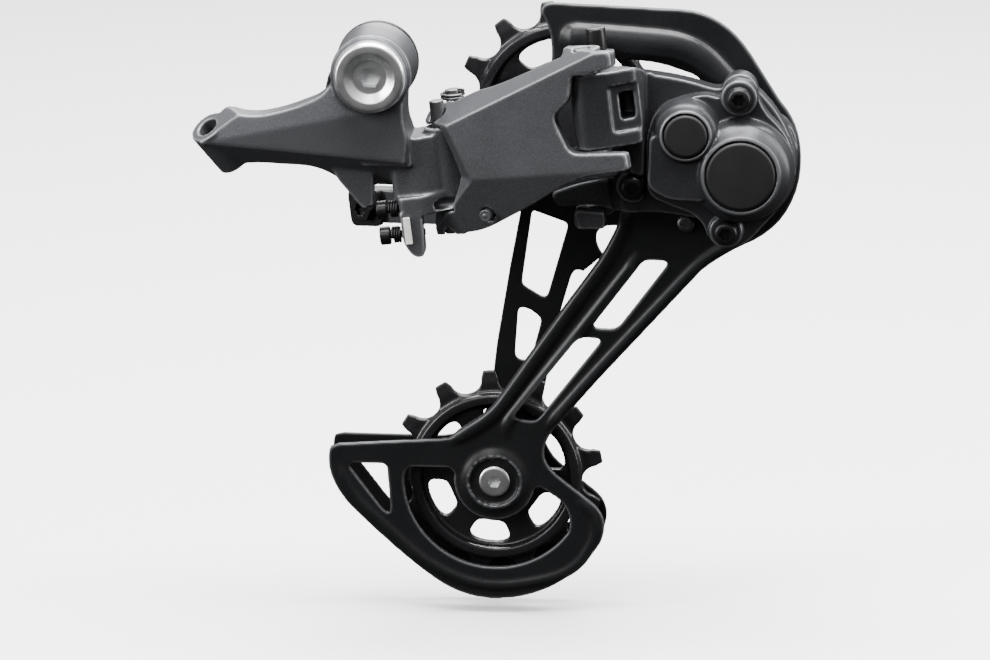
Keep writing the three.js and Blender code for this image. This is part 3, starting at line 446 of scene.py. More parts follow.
def raised(tree, height, depth, strength):
    bump = tree.nodes.new("ShaderNodeBump")
    bump.inputs["Distance"].default_value = depth
    bump.inputs["Strength"].default_value = strength
    tree.links.new(height, bump.inputs["Height"])
    return bump.outputs["Normal"]


def satin_paint(name, colour, flake, edge_wear_and_highlight, grain, roughness, metallic, depth=0.00003):
    """Satin paint with metal flakes: a fine grain, a cloudy gloss, and lighter edges, partly burnished by
    handling and partly a painted highlight along the ridges.
    """
    paint, tree, shader = fresh_finish(name)
    fine = speckle(tree, grain)
    clouds = speckle(tree, 90, 3)
    body_colour = tinted(tree, between(tree, fine, 0, 1), colour, flake)
    # Convex edges are lightened: partly wear from handling, partly a painted highlight on the ridges.
    bend = tree.nodes.new("ShaderNodeAttribute")
    bend.attribute_name = "edge_bend"
    edge = between(tree, bend.outputs["Fac"], 0, 0.85, 0.22, 0.75)
    tree.links.new(tinted(tree, edge, body_colour, edge_wear_and_highlight), shader.inputs["Base Color"])
    tree.links.new(between(tree, clouds, roughness - 0.05, roughness + 0.05), shader.inputs["Roughness"])
    tree.links.new(raised(tree, fine, depth, 0.35), shader.inputs["Normal"])
    shader.inputs["Metallic"].default_value = metallic
    return paint


# The third colour of each satin paint is its lighter edge colour: partly wear, partly a painted highlight
# along the ridges.
cast_grey = satin_paint(
    "cast_grey", (0.056, 0.057, 0.062), (0.1, 0.102, 0.11), (0.24, 0.245, 0.255), 3200, 0.38, 0.5)

BOSS_RADIUS = 9.5
BOSS_FRONT = -22
STOP_FACE = Vector((-42.7, -16, -14.9))
STOP_INWARD = Vector((0.5, 0.44, -0.75))
LIMIT_Y = -15.4
LIMIT_HEIGHTS = (-36.2, -43)
PIN_RADIUS = 1.9
B_SCREW_Y, B_SCREW_HEIGHT = -5.2, -15.5


def bracket_casting():
    boss = turned([
        [0, BOSS_FRONT], [BOSS_RADIUS, BOSS_FRONT, 0.4], [BOSS_RADIUS, -18], [10.2, -6, 2],
        [10.7, -2.6, 0.4], [8, -2.6], [8, 0, 0.3], [0, 0],
    ])
    arm = slab([
        [-9.5, -1], [-12.5, -5.8, 3], [-22.5, -9.8, 4], [-31, -11.6, 4], [-38, -9.8, 2], [-45, -18, 2],
        [-37.5, -25.5, 2.5], [-30.5, -24.3, 3], [-14, -24.8, 5], [-7, -30.5, 2], [8, -30.5],
        [9.4, -16, 2], [8.2, -12.5, 3], [8, -4],
    ], -20, -11.5)
    arm = bored(
        arm,
        half_space((-39.7, -20, -18.7), (-0.058, -0.705, -0.705)),
        half_space((-22, -20, -14), (-0.04, -0.98, 0.2)),
        half_space(STOP_FACE, -STOP_INWARD),
    )
    web = slab([
        [-12, -21], [-9.6, -27.6, 2], [-2.6, -35.9, 1], [0.2, -35.9, 0.5], [0.2, -21],
    ], -16, -12)
    neck = slab([
        [-9.4, -1], [-9, -14, 3], [-2, -24], [10.4, -24], [9.6, -16, 2], [8.2, -12.5, 3], [8.4, -3],
    ], -19, -3.5)
    fillet = turned([[0, -19.9], [10.6, -19.9, 0.6], [9.7, -15.5, 2], [9.5, -11], [0, -11]])
    rear_block = column([
        [1, -17.4, 3], [9, -17.4, 2], [14.85, -15.2, 2], [14.85, -6.8], [20.5, 0.6], [15.2, 4.6, 2],
        [9.6, -2.6, 2], [2.5, -5, 2],
    ], (-34, -18))
    lower_block = column([
        [2.5, -18.8, 2], [8.6, -18.8, 2], [14.85, -15.2, 1], [14.85, -6.8], [2.5, -8.6, 2],
    ], (-38.2, -33))
    limit_lug = slab([
        [2.6, -37], [2.6, -45, 2], [5, -49, 2], [7.8, -49, 1.5], [8.3, -43, 2], [8.3, -37],
    ], -18.8, -12.4, TILT)
    stop_lug = slab([[-25, -19, 2], [-19, -19, 1], [-19, -12.5, 1], [-25, -12.5, 2]], -13, -2)
    length = STOP_INWARD * 13
    return bored(
        fused(
            boss, arm, web, neck, fillet, rear_block, lower_block, limit_lug, stop_lug,
            post(TILT, OUTER_PIVOT, 4.2, (-38.2, -16.6)),
            post(TILT, INNER_PIVOT, 3.8, (-34, -18)),
            bar(STOP_FACE, STOP_FACE + length, 4.9),
        ),
        rod(0, 0, 5.3, -40, 10),
        rod(0, 0, BOSS_RADIUS + 1.2, -40, BOSS_FRONT),
        post(TILT, OUTER_PIVOT, PIN_RADIUS + 0.35, (-50, 0)),
        post(TILT, INNER_PIVOT, PIN_RADIUS + 0.35, (-50, 0)),
        post(TILT, OUTER_PIVOT, 7.4, (-50, -38.2)),
        bar(STOP_FACE - STOP_INWARD * 2, STOP_FACE + STOP_INWARD * 9, 2.7),
        bar(STOP_FACE + STOP_INWARD * 5, STOP_FACE + STOP_INWARD * 20, 1.2, 24),
        bar((-30, B_SCREW_Y, B_SCREW_HEIGHT), (-10, B_SCREW_Y, B_SCREW_HEIGHT), 1.8, 24),
        *[bar(TILT @ Vector((-6, LIMIT_Y, z)), TILT @ Vector((18, LIMIT_Y, z)), 1.5, 24)
          for z in LIMIT_HEIGHTS],
    )


cast("bracket_body", bracket_casting(), "bracket", "bracket_knuckle", cast_grey)


# ---------------------------------------------------------------- hanger bolt, stop plate and B screw
# The bolt is turned from steel and bright plated, with a 5 mm hex socket in a coned recess. The pressed
# black plate behind the boss turns with the hanger, and the B screw in the bracket's lug rests on it.


def turned_steel(name, colour, roughness, scratch, metallic=1.0):
    """Bare or plated metal: fine uneven polish, and faint scratches from handling."""
    steel, tree, shader = fresh_finish(name)
    shader.inputs["Metallic"].default_value = metallic
    haze = speckle(tree, 260, 3)
    fine = speckle(tree, 6000, 1)
    tree.links.new(tinted(tree, between(tree, haze, 0, 1), colour, tuple(c * 0.93 for c in colour)),
                   shader.inputs["Base Color"])
    tree.links.new(between(tree, haze, roughness - 0.03, roughness + 0.05), shader.inputs["Roughness"])
    tree.links.new(raised(tree, fine, 0.000003, scratch), shader.inputs["Normal"])
    return steel


machined_steel = turned_steel("machined_steel", (0.9, 0.905, 0.915), 0.3, 0.25)
black_steel = turned_steel("black_steel", (0.017, 0.017, 0.018), 0.34, 0.3, 0.6)


def started_tree(name, sockets):
    """A Geometry Nodes tree with these named inputs and a finish, and the node that gives them."""
    tree = bpy.data.node_groups.new(name, "GeometryNodeTree")
    for socket, kind, value in (*sockets, ("Finish", "Material", None)):
        made = tree.interface.new_socket(socket, in_out="INPUT", socket_type="NodeSocket" + kind)
        if value is not None:
            made.default_value = value
    tree.interface.new_socket("Geometry", in_out="OUTPUT", socket_type="NodeSocketGeometry")
    return tree, tree.nodes.new("NodeGroupInput")


def wired(tree, *wires):
    """Joins nodes: each wire is a node and its output, then a node and its input."""
    for source, output, target, entry in wires:
        tree.links.new(source.outputs[output], target.inputs[entry])


def finished_tree(tree, given, node, output):
    """Ends a tree: what the node puts out is made real and takes the finish."""
    real = tree.nodes.new("GeometryNodeRealizeInstances")
    paint = tree.nodes.new("GeometryNodeSetMaterial")
    out = tree.nodes.new("NodeGroupOutput")
    wired(tree, (node, output, real, "Geometry"), (real, "Geometry", paint, "Geometry"),
          (given, "Finish", paint, "Material"), (paint, "Geometry", out, "Geometry"))
    return tree


def helix_tree():
    """Wire wound in a helix along Z: a spring's wire, or the ridge of a thread."""
    tree, given = started_tree("helix", (
        ("Turns", "Float", 4.0), ("Radius", "Float", 2.0), ("Length", "Float", 4.0),
        ("Wire", "Float", 0.3), ("Sides", "Int", 10), ("Steps", "Int", 24),
    ))
    path = tree.nodes.new("GeometryNodeCurveSpiral")
    section = tree.nodes.new("GeometryNodeCurvePrimitiveCircle")
    sweep = tree.nodes.new("GeometryNodeCurveToMesh")
    sweep.inputs["Fill Caps"].default_value = True
    wired(
        tree,
        (given, "Steps", path, "Resolution"), (given, "Turns", path, "Rotations"),
        (given, "Radius", path, "Start Radius"), (given, "Radius", path, "End Radius"),
        (given, "Length", path, "Height"), (given, "Sides", section, "Resolution"),
        (given, "Wire", section, "Radius"), (path, "Curve", sweep, "Curve"),
        (section, "Curve", sweep, "Profile Curve"),
    )
    return finished_tree(tree, given, sweep, "Mesh")


def grown(tree, settings, place=None, shape=None):
    """The plain mesh that a Geometry Nodes tree makes with these settings of its named inputs."""
    seed = bpy.data.objects.new("seed", shape or bpy.data.meshes.new("seed"))
    scene.collection.objects.link(seed)
    modifier = seed.modifiers.new("grow", "NODES")
    modifier.node_group = tree
    for socket in tree.interface.items_tree:
        if socket.item_type == "SOCKET" and socket.in_out == "INPUT" and socket.name in settings:
            modifier[socket.identifier] = settings[socket.name]
    mesh = bpy.data.meshes.new_from_object(seed.evaluated_get(bpy.context.evaluated_depsgraph_get()))
    bpy.data.objects.remove(seed)
    sealed(mesh)
    if place is not None:
        mesh.transform(place)
    return mesh


helix = helix_tree()
ALONG_Y = Matrix.Rotation(math.radians(-90), 4, "X")


def coil(turns, radius, length, wire, sides, steps, place):
    """Wire wound round Z of its frame."""
    return grown(helix, {"Turns": turns, "Radius": radius, "Length": length, "Wire": wire,
                         "Sides": sides, "Steps": steps}, place)


def thread(radius, start, length, pitch, place):
    """The ridge of a screw thread round an axis along Y of its frame, sunk a little into the shank."""
    return coil(length / pitch, radius - pitch * 0.12, length, pitch * 0.4, 4, 28,
                place @ Matrix.Translation((0, start, 0)) @ ALONG_Y)


def hex_socket(x, z, flats, low, high):
    return rod(x, z, flats / math.sqrt(3), low, high, 6)


HERE = Matrix.Identity(4)
hanger_bolt = bored(
    fused(
        turned([
            [0, -22.6], [4.4, -22.6, 0.3], [6.5, -24.1, 0.3], [8.4, -24.1, 0.35], [9.2, -23.3, 0.3],
            [9.2, -22.3], [4.6, -22.3], [4.6, 7.9, 0.4], [4.0, 8.6], [0, 8.6],
        ], sides=112),
        thread(4.6, -1.4, 9.0, 1.0, HERE),
    ),
    hex_socket(0, 0, 5, -25, -18),
)
machined("hanger_bolt_turned", hanger_bolt, "bracket", "hanger_bolt", machined_steel)


def stop_plate():
    tab = slab([[-8, -5], [-13, -17.5, 1.5], [-16, -17.5, 1.5], [-12.5, -2, 2]], -2.3, -0.3)
    foot = block([-16, -13.6], [-7.4, -0.3], [-17.5, -13.5])
    return bored(fused(rod(0, 0, 10.7, -2.3, -0.3), tab, foot), rod(0, 0, 8.3, -5, 3))


def screw(place, head, shank, tip, pitch, recess=None):
    """A machine screw along Y of its frame. head is its radius and its two ends along Y."""
    body = turned([[0, head[1]], [head[0], head[1], 0.35], [head[0], head[2], 0.15], [0, head[2]]],
                  sides=40, place=place)
    stem = turned([[0, head[2] - 0.4], [shank, head[2] - 0.4], [shank, tip, 0.4], [0, tip]],
                  sides=32, place=place)
    ridge = thread(shank, head[2] + 0.2, tip - head[2] - 0.5, pitch, place)
    whole = fused(body, stem, ridge)
    return bored(whole, recess) if recess is not None else whole


def lobed(radius, depth, low, high, place=None, lobes=6, steps=60):
    """The recess of a six-lobed driver: a round hole whose wall swells lobe by lobe."""
    outline = []
    for step in range(steps):
        angle = 2 * math.pi * step / steps
        reach = radius * (1 + depth * math.cos(lobes * angle))
        outline.append((reach * math.cos(angle), reach * math.sin(angle)))
    return prism(outline, low, high, place)


cast("stop_plate_pressed", stop_plate(), "bracket", "hanger_stop_plate", black_steel, 0.3, 3)

b_axis = (Matrix.Translation((0, B_SCREW_Y, B_SCREW_HEIGHT))
          @ Matrix.Rotation(math.radians(-90), 4, "Z"))
machined("b_screw", screw(b_axis, (2.6, -30, -27.4), 1.25, -16.6, 0.7, lobed(1.5, 0.12, -31, -28.8, b_axis)),
         "bracket", "b_tension_screw", black_steel)


# ---------------------------------------------------------------- limit screws, springs and label chip
# Two small black screws cross the bracket's foot and set the ends of the links' travel. A short coil
# spring under each head stops it working loose. A plain white chip is clipped over the lug.



def cross_recess(reach, half_width, low, high, place):
    """The recess of a cross-head driver."""
    wide, thin = [-reach, reach], [-half_width, half_width]
    return fused(block(thin, [low, high], wide, place), block(wide, [low, high], thin, place))


for name, height, tip in (("low", LIMIT_HEIGHTS[0], 7), ("high", LIMIT_HEIGHTS[1], 8.4)):
    limit_axis = (TILT @ Matrix.Translation((0, LIMIT_Y, height))
                  @ Matrix.Rotation(math.radians(-90), 4, "Z"))
    recess = cross_recess(1.7, 0.35, -4, -2.3, limit_axis)
    machined("limit_screw_" + name + "_turned", screw(limit_axis, (2.4, -3.4, -0.8), 1.0, tip, 0.6, recess),
             "bracket", "limit_screw_" + name, black_steel)
    winding = coil(3.2, 1.95, 2.1, 0.3, 10, 28, limit_axis @ Matrix.Translation((0, -0.15, 0)) @ ALONG_Y)
    machined("limit_spring_" + name + "_wound", winding, "bracket", "limit_spring_" + name,
             black_steel, 80)


def moulded(name, colour, roughness, grain, depth):
    """Moulded plastic or rubber: an even colour with the fine texture of its mould."""
    plastic, tree, shader = fresh_finish(name)
    fine = speckle(tree, grain, 3)
    tree.links.new(tinted(tree, between(tree, fine, 0, 1), colour, tuple(c * 1.35 for c in colour)),
                   shader.inputs["Base Color"])
    tree.links.new(between(tree, speckle(tree, 160, 3), roughness - 0.05, roughness + 0.06),
                   shader.inputs["Roughness"])
    tree.links.new(raised(tree, fine, depth, 0.4), shader.inputs["Normal"])
    return plastic


white_plastic = moulded("white_plastic", (0.62, 0.62, 0.6), 0.45, 1800, 0.00001)
cast("label_chip", block([3.4, 5.2], [-19.8, -19.1], [-45, -38], TILT), "bracket", "limit_label",
     white_plastic, 0.12, 3)


# ---------------------------------------------------------------- outer link
# The front arm of the parallelogram, forged and milled: a channel whose wide front face is bevelled
# above and below, with a lug at each corner that takes a pivot pin.


def link_frame(joint):
    return Matrix.Translation(joint_at[joint]) @ TILT @ Matrix.Rotation(LINK_REST, 4, "Z")


OUTER = link_frame("outer_link_swing")
INNER = link_frame("inner_link_swing")
LINK_FRONT = -6.4
RIVET = (12, -39.6)
BEVEL_MEETING = (9.9, LINK_FRONT, -29.8)
LUGS = {
    "rear_top": ([-3.4, 4.2], [-16.4, -9.6]), "rear_low": ([-3.4, 4.2], [-45.2, -38.6]),
    "front_top": ([37, LINK_LENGTH + 4.4], [-3.9, 2.1]), "front_low": ([36, LINK_LENGTH + 4.4], [-28.6, -24]),
}


def outer_link():
    face = slab([
        [-3.2, -9.6, 1], [14, -7.9, 6], [28, -3, 6], [42, 2.1, 6], [51.8, 2.1, 1.2], [51.9, -2.2, 1],
        [40.6, -3.9, 1.5], [39.3, -10, 2], [34.2, -14, 2.5], [37.8, -23.9, 2.5], [53, -24.1, 1],
        [53.4, -28.6, 1], [38, -30.3, 6], [24.4, -37.6, 5], [9.2, -44.4, 4], [-2.6, -45.2, 1.5],
        [-3.2, -38.6, 1.5], [2.2, -38, 2], [6.4, -29.5, 4], [2.2, -16.8, 2], [-3.2, -16.4, 1],
    ], LINK_FRONT, 2.4, OUTER)
    channel = slab([
        [-6, -16.4], [4, -16.4, 2], [34, -6.2, 2], [36.4, -3.9, 1], [60, -3.9], [60, -24],
        [36, -24.2, 2], [32, -27.6, 2], [8, -38.4, 2], [-6, -38.4],
    ], -3.3, 6.4, OUTER)
    shell = bored(
        face,
        channel,
        block([LINK_LENGTH + 3.2, 60], [-3.4, 10], [-60, 20], OUTER),
    )
    lugs = [column([
        [across[0], LINK_FRONT + 0.6, 1.6], [across[1], LINK_FRONT + 0.2, 1.2], [across[1], 3.4, 2.4],
        [across[0] - 1, 4.2, 2.6],
    ], span, OUTER) for across, span in LUGS.values()]
    bevels = [
        half_space((4.6, LINK_FRONT, -15.2), (-0.332, -0.448, 0.83), OUTER),
        half_space(BEVEL_MEETING, (0.008, -0.957, -0.289), OUTER),
        bored(half_space(BEVEL_MEETING, (-0.6, -0.77, -0.22), OUTER),
              block([-200, 200], [-200, 200], [-200, -29.8], OUTER)),
        bored(half_space(BEVEL_MEETING, (-0.52, -0.8, 0.28), OUTER),
              block([-200, 200], [-200, 200], [-29.8, 200], OUTER)),
    ]
    return bored(
        fused(shell, *lugs),
        *bevels,
        post(OUTER, (0, 0), 4.7, (-38.5, -16.3)),
        post(OUTER, (LINK_LENGTH, 0), 4.7, (-24.0, -3.9)),
        post(OUTER, (0, 0), PIN_RADIUS + 0.3, (-60, 10), 24),
        post(OUTER, (LINK_LENGTH, 0), PIN_RADIUS + 0.3, (-60, 10), 24),
        rod(*RIVET, 1.9, -9, 3, 32, OUTER),
    )


cast("outer_link_forged", outer_link(), "outer_link", "outer_link", cast_grey)
machined("link_rivet_pressed",
         turned([[0, -5.6], [0.7, -5.3, 0.2], [1.6, -5.4, 0.3], [1.6, 2.8, 0.3], [0, 3]], *RIVET, 40, OUTER),
         "outer_link", "link_rivet", cast_grey)


# ---------------------------------------------------------------- pivot pins and return spring
# Hardened steel pins, pressed through the lugs of each link, on which the parallelogram swings. The front
# pin of the inner link has a tall black head. The return spring is wound round the rear inner pin.


def pin(place, x, span):
    stand = place @ Matrix.Translation((x, 0, 0)) @ Matrix.Rotation(math.radians(90), 4, "X")
    return turned([[0, span[0]], [PIN_RADIUS, span[0], 0.4], [PIN_RADIUS, span[1], 0.4], [0, span[1]]],
                  sides=40, place=stand)


pin_steel = turned_steel("pin_steel", (0.16, 0.16, 0.165), 0.4, 0.3)
for name, body, place, x, span in (
    ("outer_pin_rear", "outer_link", OUTER, 0, (-45, -9.9)),
    ("outer_pin_front", "outer_link", OUTER, LINK_LENGTH, (-28.4, 1.7)),
    ("inner_pin_rear", "inner_link", INNER, 0, (-45.8, -9.9)),
):
    machined(name + "_ground", pin(place, x, span), body, name, pin_steel)

knob_place = INNER @ Matrix.Translation((LINK_LENGTH, 0, 0)) @ Matrix.Rotation(math.radians(90), 4, "X")
knob = fused(pin(INNER, LINK_LENGTH, (-26.8, 0)),
             turned([[0, -1.3], [2.5, -1.3, 0.3], [2.5, 4.6, 0.7], [0, 4.6]], sides=48, place=knob_place))
machined("inner_pin_front_headed", knob, "inner_link", "inner_pin_front", black_steel)

machined("return_spring_wound", coil(2.0, 2.9, 1.6, 0.38, 12, 36, INNER @ Matrix.Translation((0, 0, -12.2))),
         "bracket", "link_return_spring", pin_steel, 80)


# ---------------------------------------------------------------- inner link and cable clamp
# The rear arm of the parallelogram, cast with a lever at its foot. The gear cable lies in the groove of
# a small pressed plate, which a black hexagon bolt clamps to the lever.

LEVER = INNER @ Matrix.Rotation(math.radians(169), 4, "Z")
CLAMP = (30, -41.4)


def inner_link():
    face = slab([
        [0, -13.7, 1], [LINK_LENGTH, -1.7, 1], [LINK_LENGTH, -26.3, 1], [0, -38.3, 1],
    ], -1.4, 1.8, INNER)
    waist = slab([[9, -19, 3], [33, -12.4, 3], [33, -20.6, 3], [9, -27.6, 3]], 0.6, 4, INNER)
    lugs = [post(INNER, (x, 0), 4.2, span) for x, span in (
        (0, (-17.7, -13.7)), (0, (-46, -34.3)), (LINK_LENGTH, (-5.7, -1.7)), (LINK_LENGTH, (-26.3, -22.3)))]
    lever = slab([[0, -46], [35, -46, 3], [35, -36.7, 3], [0, -36.7]], -2.2, 2.2, LEVER)
    return bored(
        fused(face, *lugs, lever),
        waist,
        post(INNER, (0, 0), 4.4, (-34.3, -17.7)),
        post(INNER, (LINK_LENGTH, 0), 4.4, (-22.3, -5.7)),
        post(INNER, (0, 0), PIN_RADIUS + 0.3, (-60, 10), 24),
        post(INNER, (LINK_LENGTH, 0), PIN_RADIUS + 0.3, (-60, 10), 24),
        rod(CLAMP[0], CLAMP[1], 2.6, -4, 4, 32, LEVER),
    )


cast("inner_link_cast", inner_link(), "inner_link", "inner_link", cast_grey)
clamp_place = LEVER @ Matrix.Translation((CLAMP[0], 0, CLAMP[1]))
clamp_bolt = bored(
    fused(rod(0, 0, 2.2, -3, 5, 32, clamp_place), rod(0, 0, 6 / math.sqrt(3), 4.3, 6.2, 6, clamp_place)),
    lobed(1.5, 0.12, 5.0, 7, clamp_place),
)
cast("clamp_bolt_forged", clamp_bolt, "inner_link", "cable_clamp_bolt", black_steel, 0.16, 3)
clamp_plate = bored(
    slab([[-5, -5, 2], [5, -5, 2], [5, 5, 2], [-5, 5, 2]], 2.5, 4.1, clamp_place),
    block([-6, 6], [2, 3.1], [-4.3, -3.1], clamp_place),
    rod(0, 0, 2.6, 0, 6, 32, clamp_place),
)
cast("clamp_plate_pressed", clamp_plate, "inner_link", "cable_clamp_plate", black_steel, 0.2, 3)


# ---------------------------------------------------------------- changer knuckle
# The moving end of the parallelogram: a die casting with the front barrels of both links, a boss for
# the foot screw, and a wide base behind the clutch through which the cage's pivot passes.

CAGE_PIVOT = (joint_at["cage_swing"].x, joint_at["cage_swing"].z)
CAM_AXIS = (joint_at["clutch_lever_turn"].x, joint_at["clutch_lever_turn"].z)
TOP_EAR = (93.9, -4.9)
LOW_EAR = (90.9, -40.1)
FOOT_SCREW = (66.8, -29.2)


def far_end(pivot):
    return pivot + Vector((LINK_LENGTH * math.cos(LINK_REST), LINK_LENGTH * math.sin(LINK_REST), 0))


def changer_casting():
    outer_far, inner_far = far_end(OUTER_PIVOT), far_end(INNER_PIVOT)
    base = slab([
        [62, 0.4, 1], [78.6, -1.6, 6], [88.6, -4.6, 3], [96, -2, 4], [104, -10, 6], [110, -23.9, 8],
        [104.5, -36, 8], [92, -40.5, 4], [85.4, -38.8, 0.6], [75, -36.9, 4], [63, -37.2, 3], [57, -35, 5],
        [47.4, -36, 1.5], [45, -32.6, 2], [52, -29.6, 5], [63.4, -27.4, 2], [63.4, -4, 2],
    ], -9.6, -3)
    hub = slab([
        [81.6, -15, 5], [87, -10.5, 5], [95, -9.4, 6], [108, -13, 8], [109.6, -27, 8], [103, -38.6, 7],
        [93, -42.4, 3], [85.4, -41.2, 0.5], [85.4, -38.8, 0.3], [77.4, -38.5, 0.6], [80.2, -31.4, 1],
        [81.4, -26, 3],
    ], -4, 1.4)
    front = column([
        [54.8, -28.2, 1.5], [62, -27.2, 2], [68, -24.6, 2], [69.5, -12], [69.5, -6.6], [57.8, -7.2],
        [57.6, -14.6, 1.5], [54.8, -20],
    ], (-23.7, -6.1))
    crown = column([
        [54.8, -28.2, 1.5], [62, -27.2, 2], [68, -24.6, 2], [69.5, -16.2], [62.6, -16.2, 1],
        [57.4, -16.8, 1], [54.8, -20],
    ], (-6.2, -4.2))
    side = column([[62.6, -16.4, 1], [71, -16.4], [71, -4], [62.6, -4]], (-34, -3.2))
    skirt = column([[67.6, -24.6, 2], [71, -24.6, 1], [71, -10], [67.6, -10]], (-29.5, -20))
    foot_boss = turned([[0, -14.2], [4.3, -14.2, 0.4], [4.3, -10], [5.6, -8.6, 1], [0, -8.6]], *FOOT_SCREW)
    tower = bored(fused(front, crown, side), half_space((62, -19, -4.3), (0.22, 0.26, 0.94), TILT))
    return bored(
        fused(
            base, hub, tower, skirt, foot_boss,
            rod(*TOP_EAR, 4.6, -9.6, -3), rod(*LOW_EAR, 4.3, -9.6, -3),
            post(TILT, outer_far, 4.2, (-23.7, -4.2)),
            post(TILT, inner_far, 3.8, (-22, -6)),
        ),
        block([69.8, 130], [-40, -9.6], [-60, 20]),
        column([[60.4, -30], [74, -30], [74, -21], [66, -24.6, 2], [60.4, -26.6, 0.8]], (-20, -8)),
        column([[62.8, -30], [66.4, -30, 1], [66.4, -18, 1.5], [62.8, -18, 1.5]], (-17, -10)),
        rod(*FOOT_SCREW, 3.7, -40, -14.2),
        post(TILT, outer_far, PIN_RADIUS + 0.3, (-50, 20), 24),
        post(TILT, inner_far, PIN_RADIUS + 0.3, (-50, 20), 24),
        post(TILT, inner_far, 4.6, (-6, 20)),
        post(TILT, inner_far, 4.6, (-28, -22)),
        rod(*CAGE_PIVOT, 5.2, -12, 4),
        ring(*CAGE_PIVOT, 6.1, 9.1, -7.4, 4),
        rod(*CAM_AXIS, 2.2, -12, 4, 32),
        rod(*TOP_EAR, 1.5, -12, 4, 24), rod(*LOW_EAR, 1.5, -12, 4, 24), rod(*FOOT_SCREW, 1.5, -20, 4, 24),
        slab([
            [78.6, -8, 3], [87, -12.4, 3], [83.4, -19.6, 3], [74, -32, 2], [56, -45, 2], [48, -40, 2],
            [73.6, -12.4, 3],
        ], -2.9, 4),
    )


# A darker copy of the bracket's satin grey: painted shade for the knuckle and clutch cover, which sit in
# shadow.
cast_grey_painted_shade = satin_paint(
    "cast_grey_painted_shade", (0.02, 0.0204, 0.022), (0.04, 0.041, 0.045), (0.14, 0.143, 0.15), 3200, 0.37, 0.4)
cast("changer_body", changer_casting(), "changer_knuckle", "changer_knuckle", cast_grey_painted_shade)


# ---------------------------------------------------------------- clutch cover, caps and cover screws
# The cast cover holds the clutch that keeps the chain taut. It is screwed to the knuckle through two
# ears, over a thin rubber gasket, and moulded caps close the ends of its two round bosses.

COVER_OUTLINE = [
    [74, -7, 6], [85.5, -4.4, 3], [89.6, -5.8, 2], [90, -1.2, 3], [97.6, -1, 3], [99.6, -8, 4],
    [107.5, -16, 7], [109.4, -28, 8], [101, -38, 6], [95.4, -44.2, 3.5], [87, -43.8, 3.5],
    [84.4, -36.4, 4], [76, -33.5, 5], [70.6, -31, 3], [70.2, -14, 5],
]
COVER_FRONT = -24


def cover_casting():
    skirt = prism(rounded(COVER_OUTLINE, 8), -15.6, -10.7)
    foot = slab([[71.4, -14, 2], [86, -14], [86, -31, 2], [76, -30.6, 3], [71, -27.4, 2]], -22.4, -15)
    small_boss = turned([
        [0, COVER_FRONT], [6.5, COVER_FRONT, 0.3], [7.4, -21.9, 0.8], [7.9, -21.5, 0.4], [8.3, -15, 1],
        [8.3, -14], [0, -14],
    ], *CAM_AXIS)
    large_boss = turned([
        [0, COVER_FRONT], [10, COVER_FRONT, 0.4], [11.6, -21.4, 1.6], [12.7, -20.4, 1], [13.7, -15, 2],
        [13.7, -13], [0, -13],
    ], *CAGE_PIVOT, 112)
    top_ear = turned([[0, -18], [4.6, -18, 0.5], [4.6, -13], [0, -13]], *TOP_EAR)
    low_ear = turned([[0, -16.8], [4.3, -16.8, 0.5], [4.3, -13], [0, -13]], *LOW_EAR)
    return bored(
        fused(skirt, foot, small_boss, large_boss, top_ear, low_ear),
        rod(*CAGE_PIVOT, 10.2, -21.8, -5),
        rod(*CAM_AXIS, 5.4, -21.8, -5),
        prism([(79, -17), (88, -14), (90, -24), (82, -19)], -21.8, -5),
        rod(*CAGE_PIVOT, 9.2, -26, COVER_FRONT + 0.8, 96),
        rod(*CAM_AXIS, 5.9, -26, COVER_FRONT + 0.8, 64),
        rod(*TOP_EAR, 1.5, -26, -5, 24), rod(*LOW_EAR, 1.5, -26, -5, 24),
    )


# The cover takes the same darker grey, as painted shade.
cast("clutch_cover_cast", cover_casting(), "changer_knuckle", "clutch_cover", cast_grey_painted_shade, 0.3, 4)

MATT_SPECULAR = 0.36
cap_plastic = moulded("cap_plastic", (0.006, 0.006, 0.0065), 0.55, 3600, 0.00004)
shader_of(cap_plastic).inputs["Specular IOR Level"].default_value = MATT_SPECULAR
for name, axis, radius in (("large", CAGE_PIVOT, 8.8), ("small", CAM_AXIS, 5.5)):
    machined(
        name + "_cap_moulded",
        turned([[0, -24.3], [radius - 0.5, -24.45, 0.3], [radius, -24.0, 0.25], [radius, -23.5], [0, -23.5]],
               *axis, 96),
        "changer_knuckle", name + "_cap", cap_plastic, 50)

for name, axis, seat in (("cover_screw_top", TOP_EAR, -18.3), ("cover_screw_bottom", LOW_EAR, -17.1),
                         ("foot_screw", FOOT_SCREW, -14.5)):
    driven = Matrix.Translation((axis[0], 0, axis[1]))
    head = turned([
        [0, seat - 2.6], [2.5, seat - 2.6, 0.8], [3.2, seat - 1.6, 0.6], [3.2, seat, 0.2], [0, seat],
    ], sides=56, place=driven)
    stem = turned([[0, seat - 0.4], [1.15, seat - 0.4], [1.15, -4, 0.3], [0, -4]], sides=28, place=driven)
    ridge = thread(1.15, seat + 0.6, -4.6 - seat, 0.6, driven)
    whole = bored(fused(head, stem, ridge), lobed(1.55, 0.13, seat - 4, seat - 1.2, driven))
    machined(name + "_turned", whole, "changer_knuckle", name, black_steel)

black_rubber = moulded("black_rubber", (0.014, 0.014, 0.014), 0.7, 1400, 0.00002)


def refinished(node, finish):
    """A piece whose plain shape is right as it is, and only takes its finish."""
    for held in bpy.data.objects[node].material_slots:
        held.material = finish


refinished("cover_gasket", black_rubber)


# ---------------------------------------------------------------- cage pivot and clutch works
# Inside the cover: a one-way sleeve on the cage's axle, a steel band that brakes it, and the cam that
# the lever turns to slacken the band. Behind them the cage spring winds round a bronze bushing.

